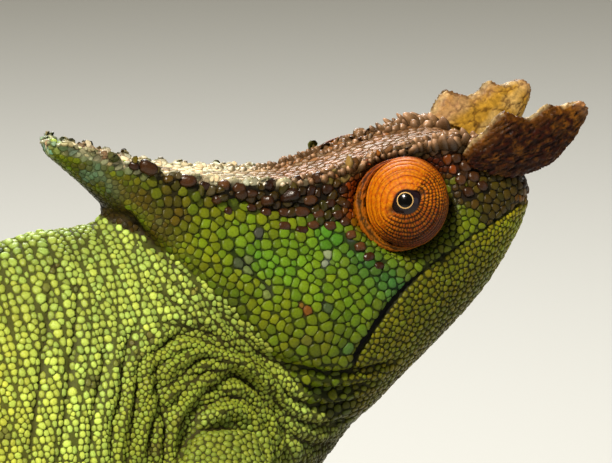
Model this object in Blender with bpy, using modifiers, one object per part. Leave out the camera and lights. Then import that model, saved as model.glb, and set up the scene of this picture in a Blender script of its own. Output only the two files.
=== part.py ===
# A Parson's chameleon at life size, still, holding a cut branch on a display stand.
# Metres, +Z up. The animal faces +X and its right side is at -Y. The origin is the middle of the
# base's underside.
import math
import random
from collections import namedtuple

import bmesh
import bpy
from mathutils import Matrix, Vector
from mathutils.bvhtree import BVHTree

# Driving dimensions
GAP = 0.0003                         # left between parts that touch
EYE_LINE = Vector((0.112, 0.0, 0.228))   # mid-plane point level with both eyes
HEAD_PITCH = math.radians(31.0)      # the mouth line above the horizontal, snout up
BODY_PITCH = math.radians(27.0)      # the back above the horizontal
PERCH_PITCH = math.radians(22.0)     # the branch above the horizontal
SHOULDER_FROM_EYE = Vector((-0.045, 0.0, -0.035))   # where the trunk's axis starts
TORSO_LENGTH = 0.166
TAIL_LENGTH = 0.290
PERCH_RADIUS = 0.0108
BASE_SIZE = Vector((0.216, 0.124, 0.012))
ROD_RADIUS = 0.0035

# One section of the head: its top and bottom points on the mid-plane, as (forward, up) along the
# head's own axes from the eye line, and its half-widths at the crest, the cheek and the jaw.
HeadSection = namedtuple("HeadSection", "top bottom crest cheek jaw")
HEAD_SECTIONS = {
    "casque tip": HeadSection((-0.0402, 0.0394), (-0.0417, 0.0362), 0.0022, 0.0024, 0.0019),
    "casque rear": HeadSection((-0.0378, 0.0365), (-0.0383, 0.0241), 0.0038, 0.0036, 0.0022),
    "nape": HeadSection((-0.0325, 0.0304), (-0.0350, 0.0020), 0.0054, 0.0086, 0.0060),
    "occiput": HeadSection((-0.0265, 0.0236), (-0.0318, -0.0235), 0.0062, 0.0132, 0.0108),
    "temple": HeadSection((-0.0182, 0.0166), (-0.0230, -0.0304), 0.0066, 0.0152, 0.0132),
    "behind the eye": HeadSection((-0.0102, 0.0108), (-0.0136, -0.0292), 0.0066, 0.0144, 0.0130),
    "eye": HeadSection((0.0002, 0.0071), (-0.0020, -0.0274), 0.0064, 0.0130, 0.0120),
    "front of the eye": HeadSection((0.0084, 0.0042), (0.0070, -0.0254), 0.0070, 0.0120, 0.0108),
    "snout": HeadSection((0.0156, 0.0005), (0.0152, -0.0222), 0.0078, 0.0100, 0.0086),
    "snout front": HeadSection((0.0204, -0.0050), (0.0208, -0.0190), 0.0070, 0.0076, 0.0060),
    "lip tip": HeadSection((0.0228, -0.0115), (0.0229, -0.0166), 0.0034, 0.0038, 0.0030),
}
CROWN_DIP = 0.0013                   # how far the crown's middle lies below its two crests
MOUTH_LINE = ((0.0260, -0.0172), (0.0140, -0.0138), (0.0035, -0.0120), (-0.0060, -0.0121),
              (-0.0130, -0.0138), (-0.0190, -0.0168), (-0.0218, -0.0230), (-0.0232, -0.0350))

# One section of a nasal horn, across the head's forward axis: its top and bottom, its distance
# from the mid-plane, and its half-thickness. The top rises and dips in the horn's broad lobes.
HornSection = namedtuple("HornSection", "forward top bottom out half_thickness")
HORN_SECTIONS = (
    HornSection(0.0138, -0.0016, -0.0064, 0.0078, 0.0014),
    HornSection(0.0162, -0.0004, -0.0088, 0.0083, 0.0020),
    HornSection(0.0187, -0.0001, -0.0102, 0.0087, 0.0023),
    HornSection(0.0207, 0.0009, -0.0110, 0.0089, 0.0024),
    HornSection(0.0225, 0.0012, -0.0116, 0.0091, 0.0024),
    HornSection(0.0237, -0.0004, -0.0119, 0.0092, 0.0023),
    HornSection(0.0252, -0.0022, -0.0121, 0.0093, 0.0022),
    HornSection(0.0270, -0.0026, -0.0120, 0.0094, 0.0021),
    HornSection(0.0285, -0.0023, -0.0116, 0.0095, 0.0020),
    HornSection(0.0297, -0.0025, -0.0112, 0.0096, 0.0020),
    HornSection(0.0309, -0.0041, -0.0106, 0.0097, 0.0019),
    HornSection(0.0325, -0.0047, -0.0097, 0.0098, 0.0018),
    HornSection(0.0340, -0.0051, -0.0088, 0.0099, 0.0016),
    HornSection(0.0350, -0.0060, -0.0078, 0.0100, 0.0010),
)

TURRET_RADIUS = 0.0078
TURRET_CENTRE = (0.0017, 0.0096, -0.0019)   # forward, out and up from the eye line
EYEBALL_RADIUS = 0.0026
EYEBALL_OUT = 0.0062                 # the eyeball's centre from the turret's
GAZE = {"right": Vector((-0.413, -0.886, 0.208)), "left": Vector((0.300, 0.945, -0.080))}

# The trunk's outline by distance along its axis from the shoulder, towards the tail.
BACK_HEIGHT = ((-0.036, 0.0240), (-0.024, 0.0268), (-0.012, 0.0318), (0.0, 0.0362),
               (0.025, 0.0410), (0.055, 0.0440), (0.085, 0.0435), (0.115, 0.0385), (0.140, 0.0305),
               (0.158, 0.0225), (0.175, 0.0160), (0.200, 0.0118), (0.250, 0.0084), (0.300, 0.0064),
               (0.350, 0.0050), (0.400, 0.0037), (0.440, 0.0025), (0.456, 0.0012))
BELLY_DEPTH = ((-0.036, 0.0235), (-0.024, 0.0265), (-0.012, 0.0318), (0.0, 0.0360),
               (0.025, 0.0390), (0.055, 0.0410), (0.085, 0.0405), (0.115, 0.0355), (0.140, 0.0265),
               (0.158, 0.0195), (0.175, 0.0150), (0.200, 0.0112), (0.250, 0.0078), (0.300, 0.0060),
               (0.350, 0.0047), (0.400, 0.0035), (0.440, 0.0024), (0.456, 0.0012))
HALF_WIDTH = ((-0.036, 0.0112), (-0.024, 0.0130), (-0.012, 0.0160), (0.0, 0.0190),
              (0.025, 0.0222), (0.055, 0.0236), (0.085, 0.0230), (0.115, 0.0205), (0.140, 0.0165),
              (0.158, 0.0130), (0.175, 0.0104), (0.200, 0.0086), (0.250, 0.0070), (0.300, 0.0056),
              (0.350, 0.0044), (0.400, 0.0033), (0.440, 0.0023), (0.456, 0.0012))
# How sharply the axis bends, in turns of one radian for each metre along it.
LEAD_IN_BEND = ((-0.036, 7.0), (-0.006, 5.0), (0.0, 0.0), (0.178, 0.0), (0.205, 3.0),
                (0.235, 12.0), (0.262, 30.0), (0.280, 38.0))
COIL_FROM = 0.280
COIL_RADII = (0.0262, 0.0062)        # of the axis, where the coil starts and at the tail's tip
TAIL_CUTS = (TORSO_LENGTH, 0.222, 0.268, 0.302, 0.340, 0.382, TORSO_LENGTH + TAIL_LENGTH)

# Limbs. The root and the elbow or knee are (x, out from the mid-plane, z) from the eye line, the
# grip is the x where the foot holds the perch, and the radii are at root, elbow or knee, and wrist.
Limb = namedtuple("Limb", "root bend grip radii")
LIMBS = {
    "front_right": Limb((-0.0335, 0.0125, -0.0430), (-0.0430, 0.0370, -0.0700), -0.0085,
                        (0.0128, 0.0090, 0.0062)),
    "front_left": Limb((-0.0370, 0.0125, -0.0430), (-0.0580, 0.0370, -0.0730), -0.0340,
                       (0.0128, 0.0090, 0.0062)),
    "hind_right": Limb((-0.1690, 0.0080, -0.1050), (-0.1390, 0.0370, -0.1160), -0.1590,
                       (0.0140, 0.0096, 0.0065)),
    "hind_left": Limb((-0.1710, 0.0080, -0.1060), (-0.1500, 0.0370, -0.1260), -0.1830,
                      (0.0140, 0.0096, 0.0065)),
}
WRIST_FROM_PALM = 0.0100
TOE_RADIUS = 0.0030
TOE_SPACING = 0.0049
PALM_ANGLE = math.radians(52.0)      # round the perch from its top, towards the limb
PERCH_THROUGH = (-0.015, -0.1035)    # a point of the perch's axis, from the eye line, in x and z
PERCH_SPAN = (-0.203, 0.026)         # the x where its cut ends are, from the eye line
ROD_PLACES = (-0.068, -0.124)        # x of the two rods, from the eye line

SKIN_GREEN = (0.36, 0.44, 0.10, 1.0)
CASQUE_BROWN = (0.30, 0.17, 0.07, 1.0)
TURRET_ORANGE = (0.75, 0.27, 0.03, 1.0)
EYE_BLACK = (0.02, 0.015, 0.01, 1.0)
BARK_BROWN = (0.25, 0.19, 0.13, 1.0)
OAK = (0.42, 0.29, 0.17, 1.0)
STEEL = (0.62, 0.62, 0.63, 1.0)


def clear_scene():
    for thing in list(bpy.data.objects):
        bpy.data.objects.remove(thing, do_unlink=True)


def material(name, colour, roughness, metallic=0.0):
    made = bpy.data.materials.get(name)
    if made is None:
        made = bpy.data.materials.new(name)
        made.use_nodes = True
        shader = made.node_tree.nodes["Principled BSDF"]
        shader.inputs["Base Color"].default_value = colour
        shader.inputs["Roughness"].default_value = roughness
        shader.inputs["Metallic"].default_value = metallic
    return made


def track(keys, at):
    """The value at one place on a smooth line through (place, value) keys, with no overshoot."""
    if at <= keys[0][0]:
        return keys[0][1]
    if at >= keys[-1][0]:
        return keys[-1][1]
    i = max(k for k in range(len(keys) - 1) if keys[k][0] <= at)
    rise = [(b[1] - a[1]) / (b[0] - a[0]) for a, b in zip(keys, keys[1:])]

    def slope(k):
        if k == 0 or k == len(keys) - 1:
            return rise[min(k, len(rise) - 1)]
        before, after = rise[k - 1], rise[k]
        return 0.0 if before * after <= 0 else 2 * before * after / (before + after)

    (x0, y0), (x1, y1) = keys[i], keys[i + 1]
    span = x1 - x0
    t = (at - x0) / span
    return (y0 * (1 + 2 * t) * (1 - t) ** 2 + y1 * t * t * (3 - 2 * t)
            + span * slope(i) * t * (1 - t) ** 2 - span * slope(i + 1) * t * t * (1 - t))


def through(points, steps):
    """A Catmull-Rom curve through the points, with this many steps between each two."""
    points = [Vector(p) for p in points]
    ends = [points[0] * 2 - points[1], *points, points[-1] * 2 - points[-2]]
    made = []
    for a, b, c, d in zip(ends, ends[1:], ends[2:], ends[3:]):
        for k in range(steps):
            t = k / steps
            made.append(0.5 * (2 * b + (c - a) * t + (2 * a - 5 * b + 4 * c - d) * t ** 2
                               + (3 * b - a - 3 * c + d) * t ** 3))
    return [*made, points[-1]]


def head_point(forward, out, up):
    """A point given along the head's own axes, from the eye line."""
    return EYE_LINE + Vector((forward * math.cos(HEAD_PITCH) - up * math.sin(HEAD_PITCH), out,
                              forward * math.sin(HEAD_PITCH) + up * math.cos(HEAD_PITCH)))


def new_object(name, mesh, finish=None):
    made = bpy.data.objects.new(name, mesh)
    bpy.context.scene.collection.objects.link(made)
    if finish is not None:
        made.data.materials.append(finish)
    return made


def object_from(name, bm):
    mesh = bpy.data.meshes.new(name)
    bmesh.ops.recalc_face_normals(bm, faces=bm.faces)
    if bm.calc_volume(signed=True) < 0:
        bmesh.ops.reverse_faces(bm, faces=bm.faces)
    bm.to_mesh(mesh)
    bm.free()
    return new_object(name, mesh)


def loft(name, rings):
    """One closed body through rings of equal count, with a flat cap at each end."""
    bm = bmesh.new()
    loops = [[bm.verts.new(point) for point in ring] for ring in rings]
    for near, far in zip(loops, loops[1:]):
        for k in range(len(near)):
            bm.faces.new((near[k - 1], near[k], far[k], far[k - 1]))
    bm.faces.new(loops[0])
    bm.faces.new(loops[-1])
    return object_from(name, bm)


def swollen(thing, by=GAP):
    """A copy of a body that stands out from it everywhere by the given distance."""
    bm = bmesh.new()
    bm.from_mesh(thing.data)
    bm.normal_update()
    moves = [v.normal * by for v in bm.verts]
    for vertex, move in zip(bm.verts, moves):
        vertex.co += move
    return object_from(thing.name + "_clearance", bm)


def largest_surface(thing):
    """Leaves only the mesh's largest closed surface."""
    bm = bmesh.new()
    bm.from_mesh(thing.data)
    bmesh.ops.remove_doubles(bm, verts=bm.verts, dist=1e-6)
    if not all(edge.is_manifold for edge in bm.edges):
        bm.clear()
        bm.from_mesh(thing.data)
    islands, seen = [], set()
    for start in bm.faces:
        if start in seen:
            continue
        island, todo = [], [start]
        seen.add(start)
        while todo:
            face = todo.pop()
            island.append(face)
            for edge in face.edges:
                for other in edge.link_faces:
                    if other not in seen:
                        seen.add(other)
                        todo.append(other)
        islands.append(island)
    islands.sort(key=lambda faces: sum(f.calc_area() for f in faces))
    loose = [face for island in islands[:-1] for face in island]
    bmesh.ops.delete(bm, geom=loose, context="FACES")
    bm.to_mesh(thing.data)
    bm.free()


def combined(thing, operation, others, solver="MANIFOLD"):
    """Joins others to a body, or cuts them from it, and removes them."""
    group = bpy.data.collections.new("tools")
    bpy.context.scene.collection.children.link(group)
    for other in others:
        group.objects.link(other)
    step = thing.modifiers.new("combine", "BOOLEAN")
    step.operation = operation
    step.solver = solver
    step.operand_type = "COLLECTION"
    step.collection = group
    graph = bpy.context.evaluated_depsgraph_get()
    mesh = bpy.data.meshes.new_from_object(thing.evaluated_get(graph))
    thing.modifiers.clear()
    thing.data = mesh
    for other in others:
        bpy.data.objects.remove(other, do_unlink=True)
    bpy.data.collections.remove(group)
    largest_surface(thing)
    return thing


def pebble(centre, radii, turn=None, level=1):
    """A small rounded scale or pad: an icosphere of the given radii."""
    bm = bmesh.new()
    bmesh.ops.create_icosphere(bm, subdivisions=level, radius=1.0)
    shape = Matrix.Diagonal((*radii, 1.0))
    place = Matrix.Translation(centre) @ (turn or Matrix.Identity(4)) @ shape
    bmesh.ops.transform(bm, matrix=place, verts=bm.verts)
    return object_from("pebble", bm)


def trimmed(thing, point, beyond):
    """Cuts off what lies beyond a plane through a point, and closes the cut with a flat face."""
    bm = bmesh.new()
    bm.from_mesh(thing.data)
    cut = bmesh.ops.bisect_plane(bm, geom=bm.verts[:] + bm.edges[:] + bm.faces[:],
                                 plane_co=point, plane_no=beyond, clear_outer=True)
    edges = [part for part in cut["geom_cut"] if isinstance(part, bmesh.types.BMEdge)]
    bmesh.ops.holes_fill(bm, edges=edges)
    bmesh.ops.recalc_face_normals(bm, faces=bm.faces)
    bm.to_mesh(thing.data)
    bm.free()


def thorn(root, tip, radius, sides=5):
    """A small cone from a root that is sunk in its carrier to a blunt tip."""
    axis = Vector(tip) - Vector(root)
    bm = bmesh.new()
    bmesh.ops.create_cone(bm, cap_ends=True, segments=sides, radius1=radius,
                          radius2=radius * 0.25, depth=axis.length)
    place = (Matrix.Translation((Vector(root) + Vector(tip)) / 2)
             @ axis.to_track_quat("Z", "Y").to_matrix().to_4x4())
    bmesh.ops.transform(bm, matrix=place, verts=bm.verts)
    return object_from("thorn", bm)


# The head
def head_ring(row, crown_steps=4, side_steps=2):
    """A closed section of the head: a dished crown between two crests, and full cheeks."""
    top, bottom = Vector(row.top), Vector(row.bottom)
    depth = (bottom - top).length
    dip = min(CROWN_DIP, 0.25 * row.crest)
    half = [(dip * (1 - (k / crown_steps) ** 2) / depth, row.crest * k / crown_steps)
            for k in range(crown_steps)]
    side = through(((0.0, row.crest), (0.06, row.crest * 0.95 + row.cheek * 0.03),
                    (0.27, row.crest * 0.5 + row.cheek * 0.47), (0.52, row.cheek),
                    (0.76, row.jaw), (0.93, row.jaw * 0.62), (1.0, 0.0)), side_steps)
    half += [(point[0], max(point[1], 0.0)) for point in side]
    ring = []
    for share, out in half:
        forward, up = top.lerp(bottom, share)
        ring.append(head_point(forward, out, up))
    mirrored = [Vector((p.x, -p.y, p.z)) for p in reversed(ring[1:-1])]
    return ring + mirrored


def head_rows(steps=3):
    """The named sections of the head, and smooth ones between them."""
    rows = list(HEAD_SECTIONS.values())
    flat = [Vector((*row.top, *row.bottom)) for row in rows]
    wide = [Vector((row.crest, row.cheek, row.jaw)) for row in rows]
    return [HeadSection((a[0], a[1]), (a[2], a[3]), *b)
            for a, b in zip(through(flat, steps), through(wide, steps))]


def crest_points(side, first, last, count):
    """Points along one lateral crest, between two places along the head's top line."""
    rows = head_rows()
    keys = [(row.top[0], row) for row in rows]
    made = []
    for k in range(count):
        forward = first + (last - first) * k / (count - 1)
        up = track([(f, r.top[1]) for f, r in keys], forward)
        out = track([(f, r.crest) for f, r in keys], forward)
        made.append(head_point(forward, side * out, up))
    return made


def crest_scutes(side):
    """The row of raised plates along a lateral crest, and the peaks over the brow and snout."""
    draw = random.Random(11)
    made = []
    lean = Matrix.Rotation(-HEAD_PITCH + math.radians(45.0), 4, "Y")
    for place in crest_points(side, -0.0385, -0.0125, 12):
        long = draw.uniform(0.0012, 0.0019)
        made.append(pebble(place + Vector((0, side * 0.0001, -0.0002)), (long, 0.0011, 0.0010), lean))
    for place in crest_points(side, -0.0290, -0.0100, 7):
        long = draw.uniform(0.0012, 0.0018)
        below = head_point(draw.uniform(-0.0005, 0.0005), side * 0.0009, -0.0034) - EYE_LINE
        made.append(pebble(place + below, (long, 0.0010, long * 0.75), lean))
    for place in crest_points(side, -0.0095, 0.0150, 11):
        height = draw.uniform(0.0006, 0.0013)
        lift = head_point(0.0002, side * 0.0004, 1.0) - head_point(0, 0, 0)
        made.append(thorn(place - lift * 0.0014, place + lift * height, 0.0014, 4))
    return made


def mouth_cutter(thickness=GAP * 1.2):
    """A thin curved sheet that follows the mouth line and runs out under the throat."""
    line = through([Vector((a, b, 0.0)) for a, b in MOUTH_LINE], 4)
    upper, lower = [], []
    for k, point in enumerate(line):
        ahead = line[min(k + 1, len(line) - 1)] - line[max(k - 1, 0)]
        normal = Vector((-ahead.y, ahead.x, 0.0)).normalized() * thickness / 2
        upper.append(point + normal)
        lower.append(point - normal)
    outline = upper + lower[::-1]
    width = 0.030
    rings = [[head_point(p.x, side * width, p.y) for p in outline] for side in (-1, 1)]
    return loft("mouth_cut", rings)


def turret_frame(side):
    """The turret's place and the turn that carries +Z to where its eye looks."""
    sign = -1 if side == "right" else 1
    forward, out, up = TURRET_CENTRE
    centre = head_point(forward, sign * out, up)
    turn = GAZE[side].normalized().to_track_quat("Z", "Y").to_matrix().to_4x4()
    return centre, turn


def turned(name, profile, steps):
    """A body turned about Z from a profile of (radius, height), outer side from top to bottom."""
    mesh = bpy.data.meshes.new(name)
    mesh.from_pydata([(r, 0.0, z) for r, z in profile],
                     [(k, k + 1) for k in range(len(profile) - 1)], [])
    thing = new_object(name, mesh)
    screw = thing.modifiers.new("turn", "SCREW")
    screw.steps = steps
    screw.render_steps = steps
    screw.use_merge_vertices = True
    screw.merge_threshold = 0.00001
    graph = bpy.context.evaluated_depsgraph_get()
    thing.data = bpy.data.meshes.new_from_object(thing.evaluated_get(graph))
    thing.modifiers.clear()
    bm = bmesh.new()
    bm.from_mesh(thing.data)
    bmesh.ops.remove_doubles(bm, verts=bm.verts, dist=1e-6)
    bmesh.ops.recalc_face_normals(bm, faces=bm.faces)
    bm.to_mesh(thing.data)
    bm.free()
    return thing


def turret(side):
    """The scaly cone of lid that covers an eye, with ring folds and a small opening."""
    centre, turn = turret_frame(side)
    profile = []
    rings = 12
    for k in range(rings + 1):
        angle = math.pi * k / rings
        fold = 0.00022 * math.cos(k * math.pi) if 1 < k < 8 else 0.0
        profile.append(((TURRET_RADIUS + fold) * math.sin(angle),
                        (TURRET_RADIUS + fold) * math.cos(angle)))
    profile[0] = (0.0, TURRET_RADIUS)
    profile[-1] = (0.0, -TURRET_RADIUS)
    ball = turned("eye_turret_" + side, profile, 16)
    ball.data.transform(Matrix.Translation(centre) @ turn)
    sign = -1 if side == "right" else 1
    trimmed(ball, (0, sign * 0.0042, 0), (0, -sign, 0))
    return ball


def eyeball(side):
    centre, turn = turret_frame(side)
    out = turn @ Vector((0, 0, EYEBALL_OUT))
    return pebble(centre + out, (EYEBALL_RADIUS,) * 3, turn, level=2)


def head_parts():
    whole = loft("head", [head_ring(row) for row in head_rows()])
    parts = {}
    eyes = {}
    for side in ("right", "left"):
        cover = turret(side)
        eye = eyeball(side)
        eye.name = "eye_" + side
        eyes[side] = (cover, eye)
    combined(whole, "UNION", crest_scutes(-1) + crest_scutes(1))
    for side, (cover, eye) in eyes.items():
        combined(whole, "DIFFERENCE", [swollen(cover)])
        combined(cover, "DIFFERENCE", [swollen(eye)])
        parts["eye_turret_" + side] = cover
        parts["eye_" + side] = eye
    for sign in (-1, 1):
        combined(whole, "DIFFERENCE",
                 [pebble(head_point(0.0168, sign * 0.0104, -0.0098), (0.0011, 0.0014, 0.0009))])
    parts["head"], parts["lower_jaw"] = split_at_mouth(whole)
    for side, sign in (("right", -1), ("left", 1)):
        parts["horn_" + side] = horn(side, sign, [parts["head"], parts["lower_jaw"]])
    return parts


def split_at_mouth(whole):
    """The head above the mouth line and the lower jaw below it, as two bodies."""
    cutter = mouth_cutter()
    copy = new_object("lower_jaw", whole.data.copy())
    line = through([Vector((a, b, 0.0)) for a, b in MOUTH_LINE], 4)
    below = [head_point(p.x, 0.0, p.y) for p in line]
    below += [head_point(0.0500, 0.0, -0.0500), head_point(0.0500, 0.0, -0.0172)]
    width = Vector((0.0, 0.030, 0.0))
    region = loft("jaw_region", [[p - width for p in below], [p + width for p in below]])
    region_two = new_object("jaw_region_two", region.data.copy())
    cutter_two = new_object("mouth_cut_two", cutter.data.copy())
    combined(whole, "DIFFERENCE", [cutter, region])
    combined(copy, "INTERSECT", [region_two])
    combined(copy, "DIFFERENCE", [cutter_two])
    return whole, copy


def horn(side, sign, neighbours):
    """One flat, lobed nasal horn, cut to meet the snout."""
    rings = []
    count = 12
    for row in HORN_SECTIONS:
        ring = []
        middle, half = (row.top + row.bottom) / 2, (row.top - row.bottom) / 2
        for k in range(count):
            angle = 2 * math.pi * k / count
            rise = math.sin(angle)
            ring.append(head_point(row.forward,
                                   sign * (row.out + row.half_thickness * math.cos(angle)
                                           + 0.16 * rise * half),
                                   middle + half * rise))
        rings.append(ring)
    made = loft("horn_" + side, rings)
    combined(made, "DIFFERENCE", [swollen(other) for other in neighbours])
    return made


# The trunk: neck, torso and tail along one axis
def bend_at(s):
    if s < COIL_FROM:
        return track(LEAD_IN_BEND, s)
    start, end = COIL_RADII
    whole = TORSO_LENGTH + TAIL_LENGTH - COIL_FROM
    return 1.0 / (start + (end - start) * (s - COIL_FROM) / whole)


def trunk_axis(step=0.001):
    """Places along the trunk's axis: {millimetres from the shoulder: (point, heading)}."""
    axis = {}
    for direction, last in ((-1, 36), (1, round(1000 * (TORSO_LENGTH + TAIL_LENGTH)))):
        point = EYE_LINE + SHOULDER_FROM_EYE
        heading = math.pi + BODY_PITCH
        for k in range(last + 1):
            axis[direction * k] = (point.copy(), heading)
            s = direction * k * step
            turn = bend_at(s) * step * direction
            turn = -turn if s < 0 else turn
            middle = heading + turn / 2
            point += Vector((math.cos(middle), 0.0, math.sin(middle))) * step * direction
            heading += turn
    return axis


AXIS = trunk_axis()


def trunk_frame(s):
    """The axis point at a distance from the shoulder, with its backward and upward directions."""
    at = s * 1000
    low = math.floor(at)
    high = min(low + 1, max(AXIS))
    share = at - low
    (a, first), (b, second) = AXIS[low], AXIS[high]
    heading = first + (second - first) * share
    back = Vector((math.cos(heading), 0.0, math.sin(heading)))
    up = Vector((math.sin(heading), 0.0, -math.cos(heading)))
    return a.lerp(b, share), back, up


def trunk_ring(s, count, grow=0.0):
    """A section of the trunk: an egg, keeled along the back, taller than wide."""
    centre, _, up = trunk_frame(s)
    top, bottom = track(BACK_HEIGHT, s) + grow, track(BELLY_DEPTH, s) + grow
    wide = track(HALF_WIDTH, s) + grow
    keel = 0.28 * min(1.0, top / 0.030)
    ring = []
    for k in range(count):
        angle = 2 * math.pi * k / count
        rise, out = math.cos(angle), math.sin(angle)
        tall = top if rise > 0 else bottom
        narrow = 1 - keel * max(rise, 0.0) ** 2
        ring.append(centre + up * tall * rise + Vector((0.0, wide * out * narrow, 0.0)))
    return ring


def trunk_piece(name, start, end, spacing, count, grow=0.0):
    steps = max(2, round((end - start) / spacing))
    places = [start + (end - start) * k / steps for k in range(steps + 1)]
    return loft(name, [trunk_ring(s, count, grow) for s in places])


def back_thorns(start, end, spacing):
    """The row of small round-tipped scales along the ridge of the back."""
    draw = random.Random(3)
    made = []
    for k in range(int((end - start) / spacing)):
        s = start + spacing * (k + 0.5)
        centre, back, up = trunk_frame(s)
        ridge = centre + up * track(BACK_HEIGHT, s)
        height = draw.uniform(0.0009, 0.0014)
        made.append(thorn(ridge - up * 0.0018, ridge + up * height + back * 0.0004, 0.0019, 4))
    return made


def trunk_parts(head_bodies):
    parts = {}
    neck = trunk_piece("neck", -0.034, -GAP / 2, 0.0068, 28)
    combined(neck, "UNION", back_thorns(-0.018, -0.002, 0.005))
    combined(neck, "DIFFERENCE", [swollen(body) for body in head_bodies])
    parts["neck"] = neck
    torso = trunk_piece("torso", GAP / 2, TORSO_LENGTH - GAP / 2, 0.0104, 28)
    parts["torso"] = combined(torso, "UNION", back_thorns(0.002, TORSO_LENGTH - 0.004, 0.0050))
    names = ("tail_root", "tail_fore", "tail_bend", "tail_coil_outer", "tail_coil_middle",
             "tail_coil_inner")
    for name, start, end in zip(names, TAIL_CUTS, TAIL_CUTS[1:]):
        ends = start + GAP / 2, end - GAP / 2
        parts[name] = trunk_piece(name, *ends, 0.0082 if start < 0.25 else 0.0048,
                                  16 if start < 0.25 else 10)
    return parts


# The perch
def perch_axis(x):
    """The point of the perch's axis at an x measured from the eye line."""
    x0, z0 = PERCH_THROUGH
    return EYE_LINE + Vector((x, 0.0, z0 + math.tan(PERCH_PITCH) * (x - x0)))


def perch():
    """A cut length of branch with a slight taper, swellings and two stubs of twigs."""
    start, end = (perch_axis(x) for x in PERCH_SPAN)
    along = (end - start).normalized()
    up = Vector((-along.z, 0.0, along.x))
    rings = []
    steps, count = 12, 16
    for k in range(steps + 1):
        share = k / steps
        swell = 0.0003 * math.sin(share * 23.0) - 0.0006 * (share - 0.5)
        radius = PERCH_RADIUS + swell
        centre = start.lerp(end, share)
        rings.append([centre + up * radius * math.cos(2 * math.pi * j / count)
                      + Vector((0.0, radius * math.sin(2 * math.pi * j / count), 0.0))
                      for j in range(count)])
    made = loft("perch", rings)
    stubs = []
    for share, angle, length in ((0.33, 1.9, 0.017), (0.62, -1.75, 0.014)):
        root = start.lerp(end, share)
        out = up * math.cos(angle) + Vector((0.0, math.sin(angle), 0.0)) + along * 0.55
        stubs.append(thorn(root, root + out.normalized() * (PERCH_RADIUS + length), 0.0085, 10))
    return combined(made, "UNION", stubs)


# The limbs
def swept(name, points, radii, count):
    """A round body along a path, with its sections square to it."""
    rings = []
    side = None
    for k, point in enumerate(points):
        along = (points[min(k + 1, len(points) - 1)] - points[max(k - 1, 0)]).normalized()
        if side is None:
            side = along.orthogonal().normalized()
        side = (side - along * side.dot(along)).normalized()
        other = along.cross(side)
        rings.append([point + (side * math.cos(2 * math.pi * j / count)
                               + other * math.sin(2 * math.pi * j / count)) * radii[k]
                      for j in range(count)])
    return loft(name, rings)


def perch_frame(x):
    """The perch's centre at an x from the eye line, and its directions along and up."""
    along = Vector((math.cos(PERCH_PITCH), 0.0, math.sin(PERCH_PITCH)))
    return perch_axis(x), along, Vector((-along.z, 0.0, along.x))


def round_perch(limb, sign, angle, radius, shift=0.0):
    """A point at an angle round the perch, from its top towards the limb's side."""
    centre, along, up = perch_frame(limb.grip)
    out = Vector((0.0, float(sign), 0.0))
    return centre + (up * math.cos(angle) + out * math.sin(angle)) * radius + along * shift


def limb_joints(limb, sign):
    root, bend = (EYE_LINE + Vector((p[0], sign * p[1], p[2])) for p in (limb.root, limb.bend))
    palm = round_perch(limb, sign, PALM_ANGLE, PERCH_RADIUS + 0.0058)
    return root, bend, palm + (bend - palm).normalized() * WRIST_FROM_PALM, palm


def limb_halves(names, limb, sign, count=12):
    """The two lengths of a limb, round-ended and parted along the plane that halves its bend."""
    root, bend, wrist, _ = limb_joints(limb, sign)
    r_root, r_bend, r_wrist = limb.radii
    upper_way, lower_way = (bend - root).normalized(), (wrist - bend).normalized()
    halving = (upper_way + lower_way).normalized()
    dome = ((0.92, 0.38), (0.72, 0.69), (0.40, 0.92))
    upper_line = ((0.0, r_root), (0.45, r_root * 0.97), (1.0, r_bend))
    lower_line = ((0.0, r_bend), (0.35, r_bend * 1.03), (1.0, r_wrist))
    steps = 5
    upper = [(root - upper_way * r_root * far, r_root * near) for far, near in dome]
    upper += [(root.lerp(bend, k / steps), track(upper_line, k / steps)) for k in range(steps + 1)]
    upper += [(bend + upper_way * r_bend * far, r_bend * near) for far, near in dome[::-1]]
    lower = [(bend - lower_way * r_bend * far, r_bend * near) for far, near in dome]
    lower += [(bend.lerp(wrist, k / steps), track(lower_line, k / steps)) for k in range(steps + 1)]
    halves = [swept(name, *zip(*rows), count) for name, rows in zip(names, (upper, lower))]
    trimmed(halves[0], bend - halving * GAP / 2, halving)
    trimmed(halves[1], bend + halving * GAP / 2, -halving)
    return halves


def mitten(limb, sign, toes, start, end):
    """The thick fused root of one bundle of toes, bent round the perch."""
    _, along, up = perch_frame(limb.grip)
    out = Vector((0.0, float(sign), 0.0))
    wide = toes * TOE_SPACING / 2 + 0.0012
    rings = []
    for k, (thick, narrow) in enumerate(((0.0040, 0.80), (0.0042, 0.97), (0.0037, 1.0),
                                         (0.0032, 0.96))):
        angle = start + (end - start) * k / 3
        radial = up * math.cos(angle) + out * math.sin(angle)
        centre = round_perch(limb, sign, angle, PERCH_RADIUS + thick * 0.86)
        rings.append([centre + along * wide * narrow * math.cos(a) + radial * thick * math.sin(a)
                      for a in (2 * math.pi * j / 10 for j in range(10))])
    return loft("mitten", rings)


def toe(limb, sign, start, end, shift):
    """The free end of a toe, and its claw."""
    path, radii = [], []
    for k in range(4):
        share = k / 3
        thick = TOE_RADIUS * (1.04 - 0.24 * share)
        path.append(round_perch(limb, sign, start + (end - start) * share,
                                PERCH_RADIUS + 0.0002 + thick, shift * (0.88 + 0.22 * share)))
        radii.append(thick)
    centre, along, _ = perch_frame(limb.grip)
    tip, heading = path[-1], (path[-1] - path[-2]).normalized()
    outward = tip - centre
    outward = (outward - along * outward.dot(along)).normalized()
    claw = [tip - heading * 0.0008 + outward * 0.0006, tip + heading * 0.0030 + outward * 0.0007,
            tip + heading * 0.0058 - outward * 0.0010]
    return [swept("toe", path, radii, 6), swept("claw", claw, [0.0016, 0.0012, 0.0002], 5)]


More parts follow.
